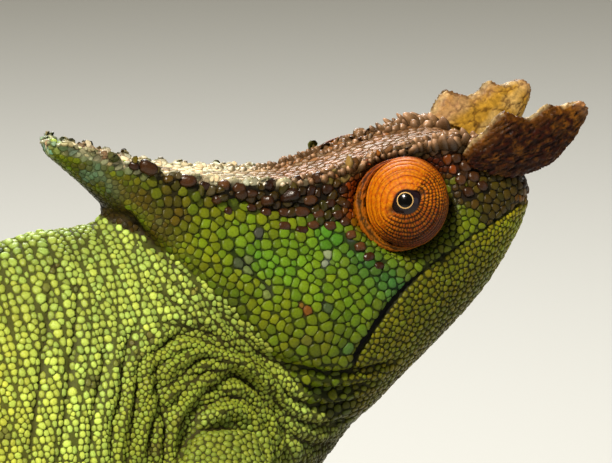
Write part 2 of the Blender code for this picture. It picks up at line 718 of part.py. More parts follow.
def foot(name, limb, sign, lower_leg, inner_toes, outer_toes):
    """A foot closed round the perch: two opposed bundles of toes with claws."""
    _, _, wrist, palm = limb_joints(limb, sign)
    tilt = Matrix.Rotation(-sign * PALM_ANGLE, 4, "X")
    lean = Matrix.Rotation(-PERCH_PITCH, 4, "Y")
    made = pebble(palm, (0.0084, 0.0084, 0.0060), lean @ tilt, level=2)
    made.name = name
    down = (palm - wrist).normalized()
    thick = limb.radii[2]
    pieces = [swept("wrist", [wrist + down * GAP, wrist.lerp(palm, 0.5), palm],
                    [thick, thick * 1.04, thick * 0.9], 10)]
    bundles = ((inner_toes, math.radians(30.0), math.radians(-94.0)),
               (outer_toes, math.radians(70.0), math.radians(176.0)))
    for toes, start, end in bundles:
        whole = end - start
        pieces.append(mitten(limb, sign, toes, start, start + 0.60 * whole))
        for k in range(toes):
            place = k - (toes - 1) / 2
            reach = 1.0 - 0.09 * abs(place)
            pieces += toe(limb, sign, start + 0.50 * whole, start + reach * whole,
                          place * TOE_SPACING)
    combined(made, "UNION", pieces)
    combined(made, "DIFFERENCE", [swollen(lower_leg)])
    return made


def limb_parts(trunk_bodies, branch):
    parts = {}
    for name, limb in LIMBS.items():
        end, side = name.split("_")
        sign = -1 if side == "right" else 1
        names = (("upper_arm_", "forearm_", "hand_") if end == "front"
                 else ("thigh_", "shank_", "foot_"))
        upper, lower = limb_halves([part + side for part in names[:2]], limb, sign)
        combined(upper, "DIFFERENCE", [swollen(body) for body in trunk_bodies])
        toes = (3, 2) if end == "front" else (2, 3)
        last = foot(names[2] + side, limb, sign, lower, *toes)
        combined(last, "DIFFERENCE", [swollen(branch)])
        for part in (upper, lower, last):
            parts[part.name] = part
    return parts


# The stand
def stand_parts(branch):
    bpy.ops.mesh.primitive_cube_add(size=1.0, location=(0.0, 0.0, BASE_SIZE.z / 2))
    base = bpy.context.object
    base.name = "stand_base"
    base.data.transform(Matrix.Diagonal((*BASE_SIZE, 1.0)))
    corners = base.modifiers.new("corners", "BEVEL")
    corners.width = 0.0018
    corners.segments = 3
    corners.limit_method = "ANGLE"
    parts = {"stand_base": base}
    for name, x in zip(("stand_rod_front", "stand_rod_rear"), ROD_PLACES):
        top = perch_axis(x)
        foot_z = BASE_SIZE.z + GAP
        bpy.ops.mesh.primitive_cylinder_add(vertices=20, radius=ROD_RADIUS, depth=top.z - foot_z,
                                            location=(top.x, 0.0, (top.z + foot_z) / 2))
        rod = bpy.context.object
        rod.name = name
        rod.data.transform(rod.matrix_world)
        rod.matrix_world = Matrix.Identity(4)
        combined(rod, "DIFFERENCE", [swollen(branch)])
        parts[name] = rod
    return parts


def finish(parts):
    """Names, materials, smooth shading and one parent for every part."""
    holder = bpy.data.objects.new("chameleon_on_stand", None)
    bpy.context.scene.collection.objects.link(holder)
    finishes = {
        "stand_base": material("oiled oak", OAK, 0.5),
        "stand_rod": material("brushed steel", STEEL, 0.35, 1.0),
        "perch": material("bark", BARK_BROWN, 0.85),
        "horn": material("casque skin", CASQUE_BROWN, 0.6),
        "eye_turret": material("orange lid skin", TURRET_ORANGE, 0.55),
        "eye_": material("eye", EYE_BLACK, 0.05),
    }
    skin = material("scaly skin", SKIN_GREEN, 0.6)
    for name, part in parts.items():
        chosen = next((finishes[key] for key in finishes if name.startswith(key)), skin)
        part.name = name
        part.data.name = name
        part.data.materials.clear()
        part.data.materials.append(chosen)
        part.data.shade_smooth()
        part.data.set_sharp_from_angle(angle=math.radians(40.0))
        part.parent = holder


def main():
    clear_scene()
    parts = head_parts()
    parts.update(trunk_parts([parts["head"], parts["lower_jaw"]]))
    parts["perch"] = perch()
    trunk_bodies = [parts["neck"], parts["torso"], parts["tail_root"]]
    parts.update(limb_parts(trunk_bodies, parts["perch"]))
    parts.update(stand_parts(parts["perch"]))
    finish(parts)


main()
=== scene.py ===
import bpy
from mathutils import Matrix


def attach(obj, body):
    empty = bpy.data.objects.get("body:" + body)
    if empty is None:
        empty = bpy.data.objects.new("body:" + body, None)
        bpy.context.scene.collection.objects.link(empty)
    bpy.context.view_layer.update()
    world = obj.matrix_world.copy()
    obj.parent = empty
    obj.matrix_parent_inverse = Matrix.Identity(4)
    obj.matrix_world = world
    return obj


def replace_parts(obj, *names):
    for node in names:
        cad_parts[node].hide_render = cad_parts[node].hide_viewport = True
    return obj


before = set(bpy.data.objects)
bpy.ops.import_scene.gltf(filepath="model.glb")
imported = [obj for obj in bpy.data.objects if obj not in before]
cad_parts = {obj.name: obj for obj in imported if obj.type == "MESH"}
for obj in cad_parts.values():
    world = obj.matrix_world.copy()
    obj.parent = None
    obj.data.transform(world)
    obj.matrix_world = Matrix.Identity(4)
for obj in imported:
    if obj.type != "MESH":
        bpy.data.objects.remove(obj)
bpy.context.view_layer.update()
import math

import bmesh
import bpy
import numpy as np
from mathutils import Matrix, Vector, kdtree
from mathutils.bvhtree import BVHTree

print("frame loaded:", len(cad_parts), "nodes")

# where the animal stands in the frame; every length is in metres
bodyPlan = {
    "eyeLine": (0.112, 0.0, 0.228),      # mid-plane point level with both eyes
    "headPitch": math.radians(31.0),
    "perchPitch": math.radians(22.0),
    "perchThrough": (-0.015, -0.1035),   # a point of the perch's axis from the eye line, in x and z
    "perchRadius": 0.0108,
    "turretCentre": (0.0017, 0.0096, -0.0019),   # forward, out and up on the head's own axes
    "gaze": {"right": (-0.413, -0.886, 0.208), "left": (0.300, 0.945, -0.080)},
    "nostril": (0.0160, 0.0104, -0.0104),
    "coatDepth": 0.0003,                 # the skin lies this far inside the solids
}
eyeLine = Vector(bodyPlan["eyeLine"])
cosHead, sinHead = math.cos(bodyPlan["headPitch"]), math.sin(bodyPlan["headPitch"])
fleshNodes = [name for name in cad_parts
              if not name.startswith(("eye", "horn", "perch", "stand"))]


# small helpers

def hexToLinear(text):
    channels = [int(text[k:k + 2], 16) / 255 for k in (1, 3, 5)]
    return tuple(c / 12.92 if c <= 0.04045 else ((c + 0.055) / 1.055) ** 2.4 for c in channels)


def tones(**named):
    return {name: np.array(hexToLinear(text)) for name, text in named.items()}


def smoothStep(low, high, x):
    t = np.clip((x - low) / (high - low), 0.0, 1.0)
    return t * t * (3 - 2 * t)


def mixed(colours, other, weight):
    # colours drawn toward another; a single colour may stand for all of them
    return colours + (np.asarray(other) - colours) * np.asarray(weight)[..., None]


def layered(colour, *layers):
    # each layer draws the colours toward its own, in turn
    for other, weight in layers:
        colour = mixed(colour, other, np.ravel(weight))
    return colour


def cloud(points, size, seed=0):
    # soft patches about this size across, from -1 to 1
    draw = np.random.default_rng(seed)
    total = np.zeros(len(points))
    for _ in range(6):
        way = draw.normal(size=3)
        way *= draw.uniform(0.7, 1.5) / np.linalg.norm(way)
        bend = draw.normal(size=3) / size
        total += np.sin(points @ way * (2 * math.pi / size) + draw.uniform(0, 6.3)
                        + 1.3 * np.sin(points @ bend * 2.1 + draw.uniform(0, 6.3)))
    return total / 3.4


def headPoint(forward, out, up):
    return eyeLine + Vector((forward * cosHead - up * sinHead, out,
                             forward * sinHead + up * cosHead))


headAxes = (headPoint(1, 0, 0) - headPoint(0, 0, 0), headPoint(0, 0, 1) - headPoint(0, 0, 0))


def toHead(points):
    # forward along the mouth, up from it, both from the eye line
    x, z = points[:, 0] - eyeLine.x, points[:, 2] - eyeLine.z
    return x * cosHead + z * sinHead, z * cosHead - x * sinHead


def unit(rows):
    return rows / np.maximum(np.linalg.norm(rows, axis=-1, keepdims=True), 1e-12)


def linked(name, data):
    # an object standing in the scene
    made = bpy.data.objects.new(name, data)
    bpy.context.scene.collection.objects.link(made)
    return made


def newPiece(name, mesh, material):
    piece = linked(name, mesh)
    mesh.materials.clear()
    mesh.materials.append(material)
    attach(piece, "root")
    return piece


def editing(*meshes):
    # the meshes together, open for editing; written puts the result into a mesh
    bm = bmesh.new()
    for mesh in meshes:
        bm.from_mesh(mesh)
    return bm


def written(bm, mesh):
    bm.to_mesh(mesh)
    bm.free()
    return mesh


def meshFrom(bm, name, smooth=True):
    bmesh.ops.recalc_face_normals(bm, faces=bm.faces)
    mesh = written(bm, bpy.data.meshes.new(name))
    if smooth:
        mesh.shade_smooth()
    return mesh


def readAll(items, key, width=1, kind=float):
    # one value or row of values from every vertex, edge, face or corner
    values = np.empty(len(items) * width, kind)
    items.foreach_get(key, values)
    return values if width == 1 else values.reshape(-1, width)


def readMesh(mesh):
    mesh.calc_loop_triangles()
    return (readAll(mesh.vertices, "co", 3), readAll(mesh.vertex_normals, "vector", 3),
            readAll(mesh.loop_triangles, "vertices", 3, int))


def writePoints(mesh, points):
    mesh.vertices.foreach_set("co", points.ravel())
    mesh.update()
    return readMesh(mesh)


def paint(mesh, colours):
    # the tint that every material reads: a colour for each point, or one for all
    layer = mesh.color_attributes.new("tint", "FLOAT_COLOR", "POINT")
    flat = np.ones((len(mesh.vertices), 4), np.float32)
    flat[:, :3] = np.clip(colours, 0, 1)
    layer.data.foreach_set("color", flat.ravel())


def curveThrough(points, spacing):
    # a smooth curve through the points, at even steps
    points = [Vector((*p, 0)) if len(p) == 2 else Vector(p) for p in points]
    ends = [points[0] * 2 - points[1], *points, points[-1] * 2 - points[-2]]
    made = []
    for a, b, c, d in zip(ends, ends[1:], ends[2:], ends[3:]):
        steps = max(1, round((c - b).length / spacing))
        for k in range(steps):
            t = k / steps
            made.append(0.5 * (2 * b + (c - a) * t + (2 * a - 5 * b + 4 * c - d) * t ** 2
                               + (3 * b - a - 3 * c + d) * t ** 3))
    return [*made, points[-1]]


def pointTree(points):
    tree = kdtree.KDTree(len(points))
    for k, place in enumerate(points.tolist()):
        tree.insert(place, k)
    tree.balance()
    return tree


def turnsOf(sides):
    # even angles round a circle
    return np.arange(sides) * 2 * math.pi / sides


def columns(rows):
    # a list of rows turned into one array for each of their values
    return [np.array([tuple(v) if isinstance(v, Vector) else v for v in column])
            for column in zip(*rows)]


def ringQuads(rings, sides):
    # the quads between closed rings of points that follow one another
    k = np.arange(sides)
    after = (k + 1) % sides
    return np.concatenate([np.stack([j * sides + k, j * sides + after, (j + 1) * sides + after,
                                     (j + 1) * sides + k], axis=1) for j in range(rings - 1)])


def largestOnly(bm):
    # leaves only the largest connected surface
    islands, seen = [], set()
    for start in bm.verts:
        if start in seen:
            continue
        island, todo = [], [start]
        seen.add(start)
        while todo:
            vertex = todo.pop()
            island.append(vertex)
            for edge in vertex.link_edges:
                other = edge.other_vert(vertex)
                if other not in seen:
                    seen.add(other)
                    todo.append(other)
        islands.append(island)
    islands.sort(key=len)
    for island in islands[:-1]:
        bmesh.ops.delete(bm, geom=island, context="VERTS")


def oneSurface(nodes, voxel):
    # the solids' loose triangles merged and fused into one even surface
    bm = editing(*(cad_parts[name].data for name in nodes))
    bmesh.ops.remove_doubles(bm, verts=bm.verts, dist=0.00001)
    body = linked("loose", meshFrom(bm, "loose"))
    fuse = body.modifiers.new("fuse", "REMESH")
    fuse.mode = "VOXEL"
    fuse.voxel_size = voxel
    graph = bpy.context.evaluated_depsgraph_get()
    mesh = bpy.data.meshes.new_from_object(body.evaluated_get(graph))
    bpy.data.objects.remove(body)
    bm = editing(mesh)
    largestOnly(bm)
    return written(bm, mesh)


def relax(mesh, rounds, hold=None):
    # evens the surface; hold is how far a point may move
    points = readMesh(mesh)[0]
    edges = readAll(mesh.edges, "vertices", 2, int)
    ends = np.concatenate([edges, edges[:, ::-1]])
    counts = np.bincount(ends[:, 0], minlength=len(points))[:, None]
    start = points.copy()
    for _ in range(rounds):
        total = np.stack([np.bincount(ends[:, 0], points[ends[:, 1], k], len(points))
                          for k in range(3)], axis=1)
        points = points + 0.5 * (total / counts - points)
    if hold is not None:
        far = np.linalg.norm(points - start, axis=1)
        points = start + (points - start) * np.minimum(1, hold(start) / np.maximum(far, 1e-9))[:, None]
    return writePoints(mesh, points)


# camera, floor and light

cameraSet = {
    "azimuth": math.radians(-25), "elevation": math.radians(12),
    "lens": 400.0, "sensor": 36.0,
    "pixel": 0.000155,                   # one pixel of the photograph at the near eye
    "width": 612, "height": 463,
    "nearEye": (407.0, 205.0),           # where the near eye's place falls in the photograph
    "nearEyeOut": -0.015,
}


def makeCamera():
    s = cameraSet
    back = Vector((math.sin(s["azimuth"]) * math.cos(s["elevation"]),
                   -math.cos(s["azimuth"]) * math.cos(s["elevation"]), math.sin(s["elevation"])))
    right = Vector((math.cos(s["azimuth"]), math.sin(s["azimuth"]), 0))
    up = back.cross(right)
    target = (eyeLine + Vector((0, s["nearEyeOut"], 0))
              + right * (s["width"] / 2 - s["nearEye"][0]) * s["pixel"]
              + up * (s["nearEye"][1] - s["height"] / 2) * s["pixel"])
    distance = s["width"] * s["pixel"] * s["lens"] / s["sensor"]
    data = bpy.data.cameras.new("camera")
    data.lens, data.sensor_width, data.clip_end = s["lens"], s["sensor"], 20
    camera = linked("camera", data)
    place = Matrix((right, up, back)).transposed().to_4x4()
    place.translation = target + back * distance
    camera.matrix_world = place
    bpy.context.scene.camera = camera
    return target + back * distance, right, up, target


eyePoint, viewRight, viewUp, viewTarget = makeCamera()


def photoRay(px, py):
    # the way from the camera through a pixel of the photograph
    s = cameraSet
    aim = (viewTarget + viewRight * (px - s["width"] / 2) * s["pixel"]
           - viewUp * (py - s["height"] / 2) * s["pixel"])
    return (aim - eyePoint).normalized()


lightSet = {
    "key": {"place": (-0.66, -0.62, 1.34), "size": 0.20, "power": 34.0, "colour": "#FFF6E6"},
    "fill": {"place": (0.95, -0.95, 0.45), "size": 0.9, "power": 1.6, "colour": "#EAF1FF"},
    "rim": {"place": (0.35, 0.95, 0.95), "size": 0.5, "power": 13.0, "colour": "#FFFFFF"},
}


def makeStudio():
    for name, s in lightSet.items():
        data = bpy.data.lights.new(name, "AREA")
        data.shape, data.size, data.energy = "DISK", s["size"], s["power"]
        data.color = hexToLinear(s["colour"])
        lamp = linked(name, data)
        lamp.location = s["place"]
        lamp.rotation_euler = (eyeLine - Vector(s["place"])).to_track_quat("-Z", "Y").to_euler()
    world = bpy.data.worlds.new("studio")
    world.use_nodes = True
    world.node_tree.nodes["Background"].inputs[0].default_value = (*hexToLinear("#E4DEC8"), 1)
    world.node_tree.nodes["Background"].inputs[1].default_value = 0.22
    bpy.context.scene.world = world
    bpy.context.scene.view_settings.view_transform = "Standard"
    bm = bmesh.new()
    bmesh.ops.create_grid(bm, x_segments=1, y_segments=1, size=4.0)
    floor = linked("floor", meshFrom(bm, "floor", smooth=False))
    material = bpy.data.materials.new("paper sweep")     # matt pale backdrop paper
    material.use_nodes = True
    shader = material.node_tree.nodes["Principled BSDF"]
    shader.inputs["Base Color"].default_value = (*hexToLinear("#CBCBC6"), 1)
    shader.inputs["Roughness"].default_value = 0.9
    floor.data.materials.append(material)


makeStudio()


# materials

def addNode(tree, kind, settings=None, links=None):
    node = tree.nodes.new(kind)
    for key, value in (settings or {}).items():
        if key in node.inputs:
            node.inputs[key].default_value = value
        else:
            setattr(node, key, value)
    for key, source in (links or {}).items():
        tree.links.new(source, node.inputs[key])
    return node


def tintedMaterial(name, roughness, grain, bump, spread=(0.80, 1.16), coat=0.0, along=(1, 1, 1),
                   metallic=0.0, relief=0.0001, gleam=0.20):
    # colour from the mesh's own tint, broken by fine grain that also lifts the surface
    material = bpy.data.materials.new(name)
    material.use_nodes = True
    tree = material.node_tree
    shader = tree.nodes["Principled BSDF"]
    tint = addNode(tree, "ShaderNodeAttribute", {"attribute_name": "tint"})
    place = addNode(tree, "ShaderNodeTexCoord")
    lie = addNode(tree, "ShaderNodeMapping", {"Scale": along}, {"Vector": place.outputs["Object"]})
    speckle = addNode(tree, "ShaderNodeTexNoise", {"Scale": 1 / grain, "Detail": 3.0, "Roughness": 0.6},
                      {"Vector": lie.outputs["Vector"]})
    shade = addNode(tree, "ShaderNodeMapRange", {"From Min": 0.3, "From Max": 0.7,
                                                 "To Min": spread[0], "To Max": spread[1]},
                    {"Value": speckle.outputs["Fac"]})
    colour = addNode(tree, "ShaderNodeVectorMath", {"operation": "SCALE"},
                     {0: tint.outputs["Color"], "Scale": shade.outputs["Result"]})
    fine = addNode(tree, "ShaderNodeTexNoise", {"Scale": 2.2 / grain, "Detail": 2.0, "Roughness": 0.55},
                   {"Vector": lie.outputs["Vector"]})
    lift = addNode(tree, "ShaderNodeBump", {"Strength": bump, "Distance": relief},
                   {"Height": fine.outputs["Fac"]})
    wear = addNode(tree, "ShaderNodeMapRange", {"From Min": 0.3, "From Max": 0.7,
                                                "To Min": roughness - 0.07, "To Max": roughness + 0.10},
                   {"Value": fine.outputs["Fac"]})
    tree.links.new(colour.outputs["Vector"], shader.inputs["Base Color"])
    tree.links.new(lift.outputs["Normal"], shader.inputs["Normal"])
    tree.links.new(wear.outputs["Result"], shader.inputs["Roughness"])
    shader.inputs["IOR"].default_value = 1.45
    shader.inputs["Specular IOR Level"].default_value = gleam
    shader.inputs["Coat Weight"].default_value = coat
    shader.inputs["Coat Roughness"].default_value = 0.22
    shader.inputs["Metallic"].default_value = metallic
    return material


scaleSkin = tintedMaterial("horny scales", 0.35, 0.00035, 0.55)          # dry keratin, soft sheen
innerSkin = tintedMaterial("soft skin between scales", 0.62, 0.00035, 0.6)
plateSkin = tintedMaterial("thick horny plates", 0.25, 0.0006, 0.5, gleam=0.34)   # polished by wear
hornSkin = tintedMaterial("rough horn skin", 0.42, 0.0006, 0.6, spread=(0.62, 1.25), gleam=0.12)
lidSkin = tintedMaterial("granular lid skin", 0.44, 0.00025, 0.4, gleam=0.14)
clawHorn = tintedMaterial("claw keratin", 0.28, 0.0006, 0.2, coat=0.3)
eyeGloss = tintedMaterial("wet cornea", 0.14, 0.0004, 0.0, spread=(0.9, 1.1), gleam=0.35)
barkSkin = tintedMaterial("dry bark", 0.82, 0.0018, 0.8, relief=0.0004)
oakGrain = tintedMaterial("oiled oak", 0.45, 0.0022, 0.25, spread=(0.72, 1.2), along=(0.07, 1, 1))
brushedSteel = tintedMaterial("brushed steel", 0.34, 0.0006, 0.2, spread=(0.9, 1.08),
                              along=(1, 1, 0.03), metallic=1.0, gleam=0.5)


# the skin: one surface for all the flesh

skinSet = {
    "voxel": 0.00136, "rounds": 6,
    "hold": {"rest": 0.0030, "head": 0.00030, "casque": 0.00008, "tip": 0.00070},   # how far points may move
    "crestEdge": ([-0.038, -0.0182, 0.0002, 0.0156], [0.0365, 0.0166, 0.0071, 0.0005]),   # forward, up
    "inside": 0.0006, "reach": 0.0026,   # the search for the solid's face starts and ends here
}


def headHold(points):
    # thin parts of the head keep their outline, joins elsewhere may round off
    forward, up = toHead(points)
    hold = skinSet["hold"]
    far = np.where((points[:, 0] > 0.052) & (points[:, 2] > 0.205), hold["head"], hold["rest"])
    far = np.where((forward < -0.030) & (up > 0.024), hold["casque"], far)
    return np.where((forward < -0.0388) & (up > 0.024), hold["tip"], far)


def solidTree(names):
    # for searches on the faces of these nodes
    bm = editing(*(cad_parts[name].data for name in names))
    tree = BVHTree.FromBMesh(bm)
    bm.free()
    return tree


def backToCasque(points, normals):
    # the thin casque and the crest's edge keep the solid's own outline
    tree = solidTree(["head"])
    forward, up = toHead(points)
    edge = np.interp(forward, *skinSet["crestEdge"])
    thin = ((forward < -0.012) & (up > 0.008)) | ((up > edge - 0.003) & (forward < 0.014) & (up > 0.002))
    moved = points.copy()
    for k in np.flatnonzero(thin & (points[:, 0] < 0.150)).tolist():
        start = Vector(points[k] - normals[k] * skinSet["inside"])
        hit = tree.ray_cast(start, Vector(normals[k]), skinSet["reach"])[0]
        if hit is not None:
            moved[k] = np.array(hit)
    return moved


skinMesh = oneSurface(fleshNodes, skinSet["voxel"])
skinPoints, skinNormals, skinCorners = relax(skinMesh, skinSet["rounds"], headHold)
skinPoints, skinNormals, skinCorners = writePoints(skinMesh, backToCasque(skinPoints, skinNormals))
skinPoints, skinNormals, skinCorners = writePoints(
    skinMesh, skinPoints - skinNormals * bodyPlan["coatDepth"])
skinTree = BVHTree.FromPolygons(skinPoints.tolist(), skinCorners.tolist())
print("skin surface:", len(skinPoints), "points")


def photoPoint(px, py):
    # the place and the facing of the skin at a pixel of the photograph
    return skinTree.ray_cast(eyePoint, photoRay(px, py))[:2]


def otherSide(point):
    # the same on the animal's other side
    return skinTree.find_nearest(Vector((point.x, -point.y, point.z)))[:2]


# which part of the animal each point is on

partNodes = {
    "head": ["head", "lower_jaw"],
    "trunk": ["neck", "torso"],
    "tail": [name for name in fleshNodes if name.startswith("tail")],
    "limb": [name for name in fleshNodes if name.startswith(("upper", "forearm", "thigh", "shank"))],
    "foot": [name for name in fleshNodes if name.startswith(("hand", "foot"))],
}
partTrees = [solidTree(names) for names in partNodes.values()]


def partOf(points, far=0.03):
    found = np.empty((len(partTrees), len(points)))
    for k, tree in enumerate(partTrees):
        gaps = [tree.find_nearest(p, far)[3] for p in points.tolist()]
        found[k] = [far if gap is None else gap for gap in gaps]
    return np.array(list(partNodes))[found.argmin(axis=0)]


# folds, traced where the photograph shows them and carried to the other side

foldSet = {                              # width, depth and the fold's pixels in the photograph
    "rear of the head, upper": (0.0008, 0.0010, [(124, 213), (130, 216), (145, 237), (164, 256),
        (193, 280)]),
    "rear of the head, lower": (0.0012, 0.0020, [(193, 280), (210, 301), (232, 321), (247, 338),
        (262, 354), (284, 366), (314, 372)]),
    "behind it": (0.0008, 0.0009, [(160, 268), (176, 285), (196, 303), (215, 322), (236, 341),
        (254, 361), (276, 378)]),
    "behind it, second": (0.0007, 0.0007, [(150, 280), (170, 298), (190, 314), (210, 332), (232, 352)]),
    "neck, long": (0.0008, 0.0011, [(158, 321), (186, 326), (207, 330), (222, 338), (238, 349),
        (250, 362)]),
    "neck, second": (0.0008, 0.0012, [(152, 352), (164, 347), (174, 337), (186, 333), (204, 339),
        (222, 347), (238, 354)]),
    "neck, third": (0.0008, 0.0012, [(161, 390), (170, 384), (180, 378), (192, 368), (205, 358),
        (222, 359), (240, 365)]),
    "neck, fourth": (0.0008, 0.0012, [(165, 415), (178, 398), (192, 384), (207, 372), (222, 370),
        (240, 374), (256, 384)]),
    "shoulder arch": (0.0011, 0.0018, [(180, 432), (186, 420), (196, 405), (207, 394), (219, 386),
        (232, 379), (241, 378), (253, 385), (264, 396), (275, 410), (284, 424), (288, 441),
        (284, 463)]),
    "shoulder arch, inner": (0.0009, 0.0014, [(178, 458), (184, 438), (194, 422), (206, 409),
        (218, 401), (232, 396), (246, 399), (258, 410), (267, 424), (273, 442), (274, 463)]),
    "top of the arm": (0.0010, 0.0016, [(176, 463), (183, 448), (192, 436), (203, 428), (217, 425),
        (232, 424), (246, 426), (255, 433), (262, 444), (268, 460)]),
    "flank, first": (0.0009, 0.0012, [(160, 362), (158, 380), (161, 398), (166, 415), (167, 436),
        (163, 463)]),
    "flank, second": (0.0008, 0.0010, [(139, 360), (138, 384), (137, 405), (134, 425), (132, 442),
        (130, 463)]),
    "flank, third": (0.0008, 0.0010, [(138, 324), (129, 341), (127, 354), (124, 372), (122, 399),
        (115, 418), (114, 433), (112, 463)]),
    "flank, fourth": (0.0008, 0.0009, [(158, 410), (153, 433), (150, 448), (148, 463)]),
    "flank, fifth": (0.0007, 0.0008, [(103, 330), (105, 355), (100, 385), (94, 410), (92, 440),
        (88, 463)]),
    "flank, sixth": (0.0007, 0.0007, [(78, 290), (75, 335), (70, 370), (66, 410), (62, 440),
        (58, 463)]),
    "flank, seventh": (0.0007, 0.0006, [(50, 290), (46, 335), (40, 380), (34, 420), (28, 463)]),
    "throat, first": (0.0008, 0.0012, [(302, 371), (325, 374), (348, 373), (371, 369), (394, 361)]),
    "throat, second": (0.0008, 0.0012, [(284, 366), (296, 382), (316, 389), (345, 388), (372, 382)]),
    "throat, third": (0.0008, 0.0012, [(262, 354), (275, 376), (290, 396), (312, 406), (338, 405),
        (358, 399)]),
    "throat, fourth": (0.0008, 0.0012, [(270, 388), (284, 408), (300, 421), (322, 426), (345, 420)]),
    "throat, fifth": (0.0008, 0.0010, [(284, 425), (298, 438), (316, 446), (335, 444)]),
    "cheek, short": (0.0006, 0.0004, [(232, 250), (245, 262), (258, 276), (270, 292)]),
}
# a swollen rim beside each fold and a line of painted shade in it, in the fold's own depth and width
foldShape = {"rim": 0.30, "rimAt": 2.1, "rimWide": 0.9, "darkWide": 0.55}


def foldLines():
    # each fold's points on the skin of either side, its taper, width and depth
    lines = []
    for wide, deep, pixels in foldSet.values():
        hits = [photoPoint(p.x, p.y)[0] for p in curveThrough(pixels, 1.2)]
        near = [h for h in hits if h is not None]
        for side in (near, [otherSide(h)[0] for h in near]):
            points = np.array([tuple(p) for p in side])
            taper = np.sin(np.pi * (np.arange(len(points)) + 1.5) / (len(points) + 2)) ** 0.4
            lines.append((points, taper, wide, deep))
    return lines


folds = foldLines()
print("folds:", len(folds))


def foldsAt(points):
    # how far each point moves along its normal, how strongly the fold's painted shade darkens it there, and
    # the way to it
    depth = np.zeros(len(points))
    dark = np.zeros(len(points))
    way = np.full((len(points), 3), 1.0)
    closest = np.full(len(points), 1.0)
    for line, taper, wide, deep in folds:
        low, high = line.min(axis=0) - 4 * wide, line.max(axis=0) + 4 * wide
        near = np.flatnonzero(((points > low) & (points < high)).all(axis=1))
        if not len(near):
            continue
        ways = line[None, :, :] - points[near, None, :]
        gaps = np.linalg.norm(ways, axis=2)
        nearest = gaps.argmin(axis=1)
        first = gaps[np.arange(len(near)), nearest]
        gap = first / wide
        strong = taper[nearest]
        depth[near] -= deep * strong * np.exp(-gap ** 2)
        rim = np.exp(-((gap - foldShape["rimAt"]) / foldShape["rimWide"]) ** 2)
        depth[near] += foldShape["rim"] * deep * strong * rim
        dark[near] = np.maximum(dark[near], strong * np.exp(-(gap / foldShape["darkWide"]) ** 2))
        nearer = first < closest[near]
        closest[near[nearer]] = first[nearer]
        way[near[nearer]] = ways[nearer, nearest[nearer]]
    return depth, dark, way


# the net of fine creases that parts the trunk's scales into lens-shaped groups: two families
# of wavy lines, each where its phase is a whole number
netSet = {"gap": 0.0029, "second": 0.0041, "lean": 0.24, "lift": 0.00022,
          "sway": (0.0011, 0.0013), "swaySize": (0.021, 0.026),     # how far lines stray, and how softly
          "clear": 0.36}                 # how near a scale's root may come, as a share of its size


def netPhases(points):
    x, z = points[:, 0], points[:, 2]
    long = points * (1, 0.4, 0.55)
    sways = [sway * cloud(long, size, 14 + k)
             for k, (sway, size) in enumerate(zip(netSet["sway"], netSet["swaySize"]))]
    return ((x + netSet["lean"] * z + sways[0]) / netSet["gap"],
            (x - netSet["lean"] * z + sways[1]) / netSet["second"])


def netLift(points):
    # the skin stands up a little between the creases
    first, second = (np.abs(np.sin(np.pi * phase)) for phase in netPhases(points))
    return netSet["lift"] * (np.minimum(first, 0.35 + 0.65 * second) ** 0.8 - 0.55)


def slopesOf(field, points, step=0.00005):
    # how fast each of a field's values changes along x, y and z
    base = np.atleast_2d(field(points))
    moved = [np.atleast_2d(field(points + step * axis)) for axis in np.eye(3)]
    return base, np.stack([(m - base) / step for m in moved], axis=2)


def netWalls(points, normals, on):
    # the ways along the skin to the crease lines before and behind each point
    base, slopes = slopesOf(netPhases, points)
    walls = []
    for phase, slope in zip(base, slopes):
        slope = slope - normals * (slope * normals).sum(axis=1)[:, None]
        slope = slope / np.maximum((slope ** 2).sum(axis=1, keepdims=True), 1e3)
        for edge in (np.ceil(phase) - phase, np.floor(phase) - phase):
            walls.append(np.where(on[:, None], slope * edge[:, None], 1.0))
    return walls


def stepBack(walls, normals, sizes):
    # how far roots that are too near a crease move away from it, and the ways to the creases then
    shift = np.zeros((len(sizes), 3))
    ways = []
    for wall in walls:
        long = np.linalg.norm(wall, axis=1)
        flat = wall - normals * (wall * normals).sum(axis=1)[:, None]
        ways.append((long, unit(flat)))
        short = netSet["clear"] * sizes - long + (shift * ways[-1][1]).sum(axis=1)
        shift -= ways[-1][1] * np.maximum(0, short)[:, None]
    left = [way * np.maximum(0.00005, long - (shift * way).sum(axis=1))[:, None] for long, way in ways]
    return shift, left


# the soft rings of skin round the root of each arm
shoulderSet = {"pixel": (222, 445), "step": 0.00215, "deep": 0.00060,
               "from": (0.004, 0.007), "to": (0.0155, 0.022)}
shoulderRight = np.array(photoPoint(*shoulderSet["pixel"])[0])
shoulders = [shoulderRight, shoulderRight * (1, -1, 1)]


def shoulderAt(points, part):
    # how far the rings move each point, how much it is among them, and how far from the arm's root
    s = shoulderSet
    depth = np.zeros(len(points))
    weight = np.zeros(len(points))
    reach = np.full(len(points), 1.0)
    for centre in shoulders:
        gap = np.linalg.norm(points - centre, axis=1)
        near = smoothStep(*s["from"], gap) * (1 - smoothStep(*s["to"], gap)) * (part == "trunk")
        wave = np.sin(gap * 2 * math.pi / s["step"] + 1.1 * cloud(points, 0.011, 17))
        depth -= s["deep"] * near * smoothStep(0.1, 1.0, wave)
        weight = np.maximum(weight, near)
        reach = np.minimum(reach, gap)
    return depth, weight, reach


# the mouth, as (forward, up) on the head's own axes
mouthLine = [(0.0245, -0.0170), (0.0140, -0.0138), (0.0035, -0.0121), (-0.0060, -0.0119),
             (-0.0125, -0.0134), (-0.0186, -0.0158), (-0.0206, -0.0180)]
mouthCurve = np.array([(p.x, p.y) for p in curveThrough(mouthLine, 0.0004)])
mouthSet = {"shut": 0.00012, "open": 0.00040, "opens": (0.50, 0.80)}     # half the gape, where it widens
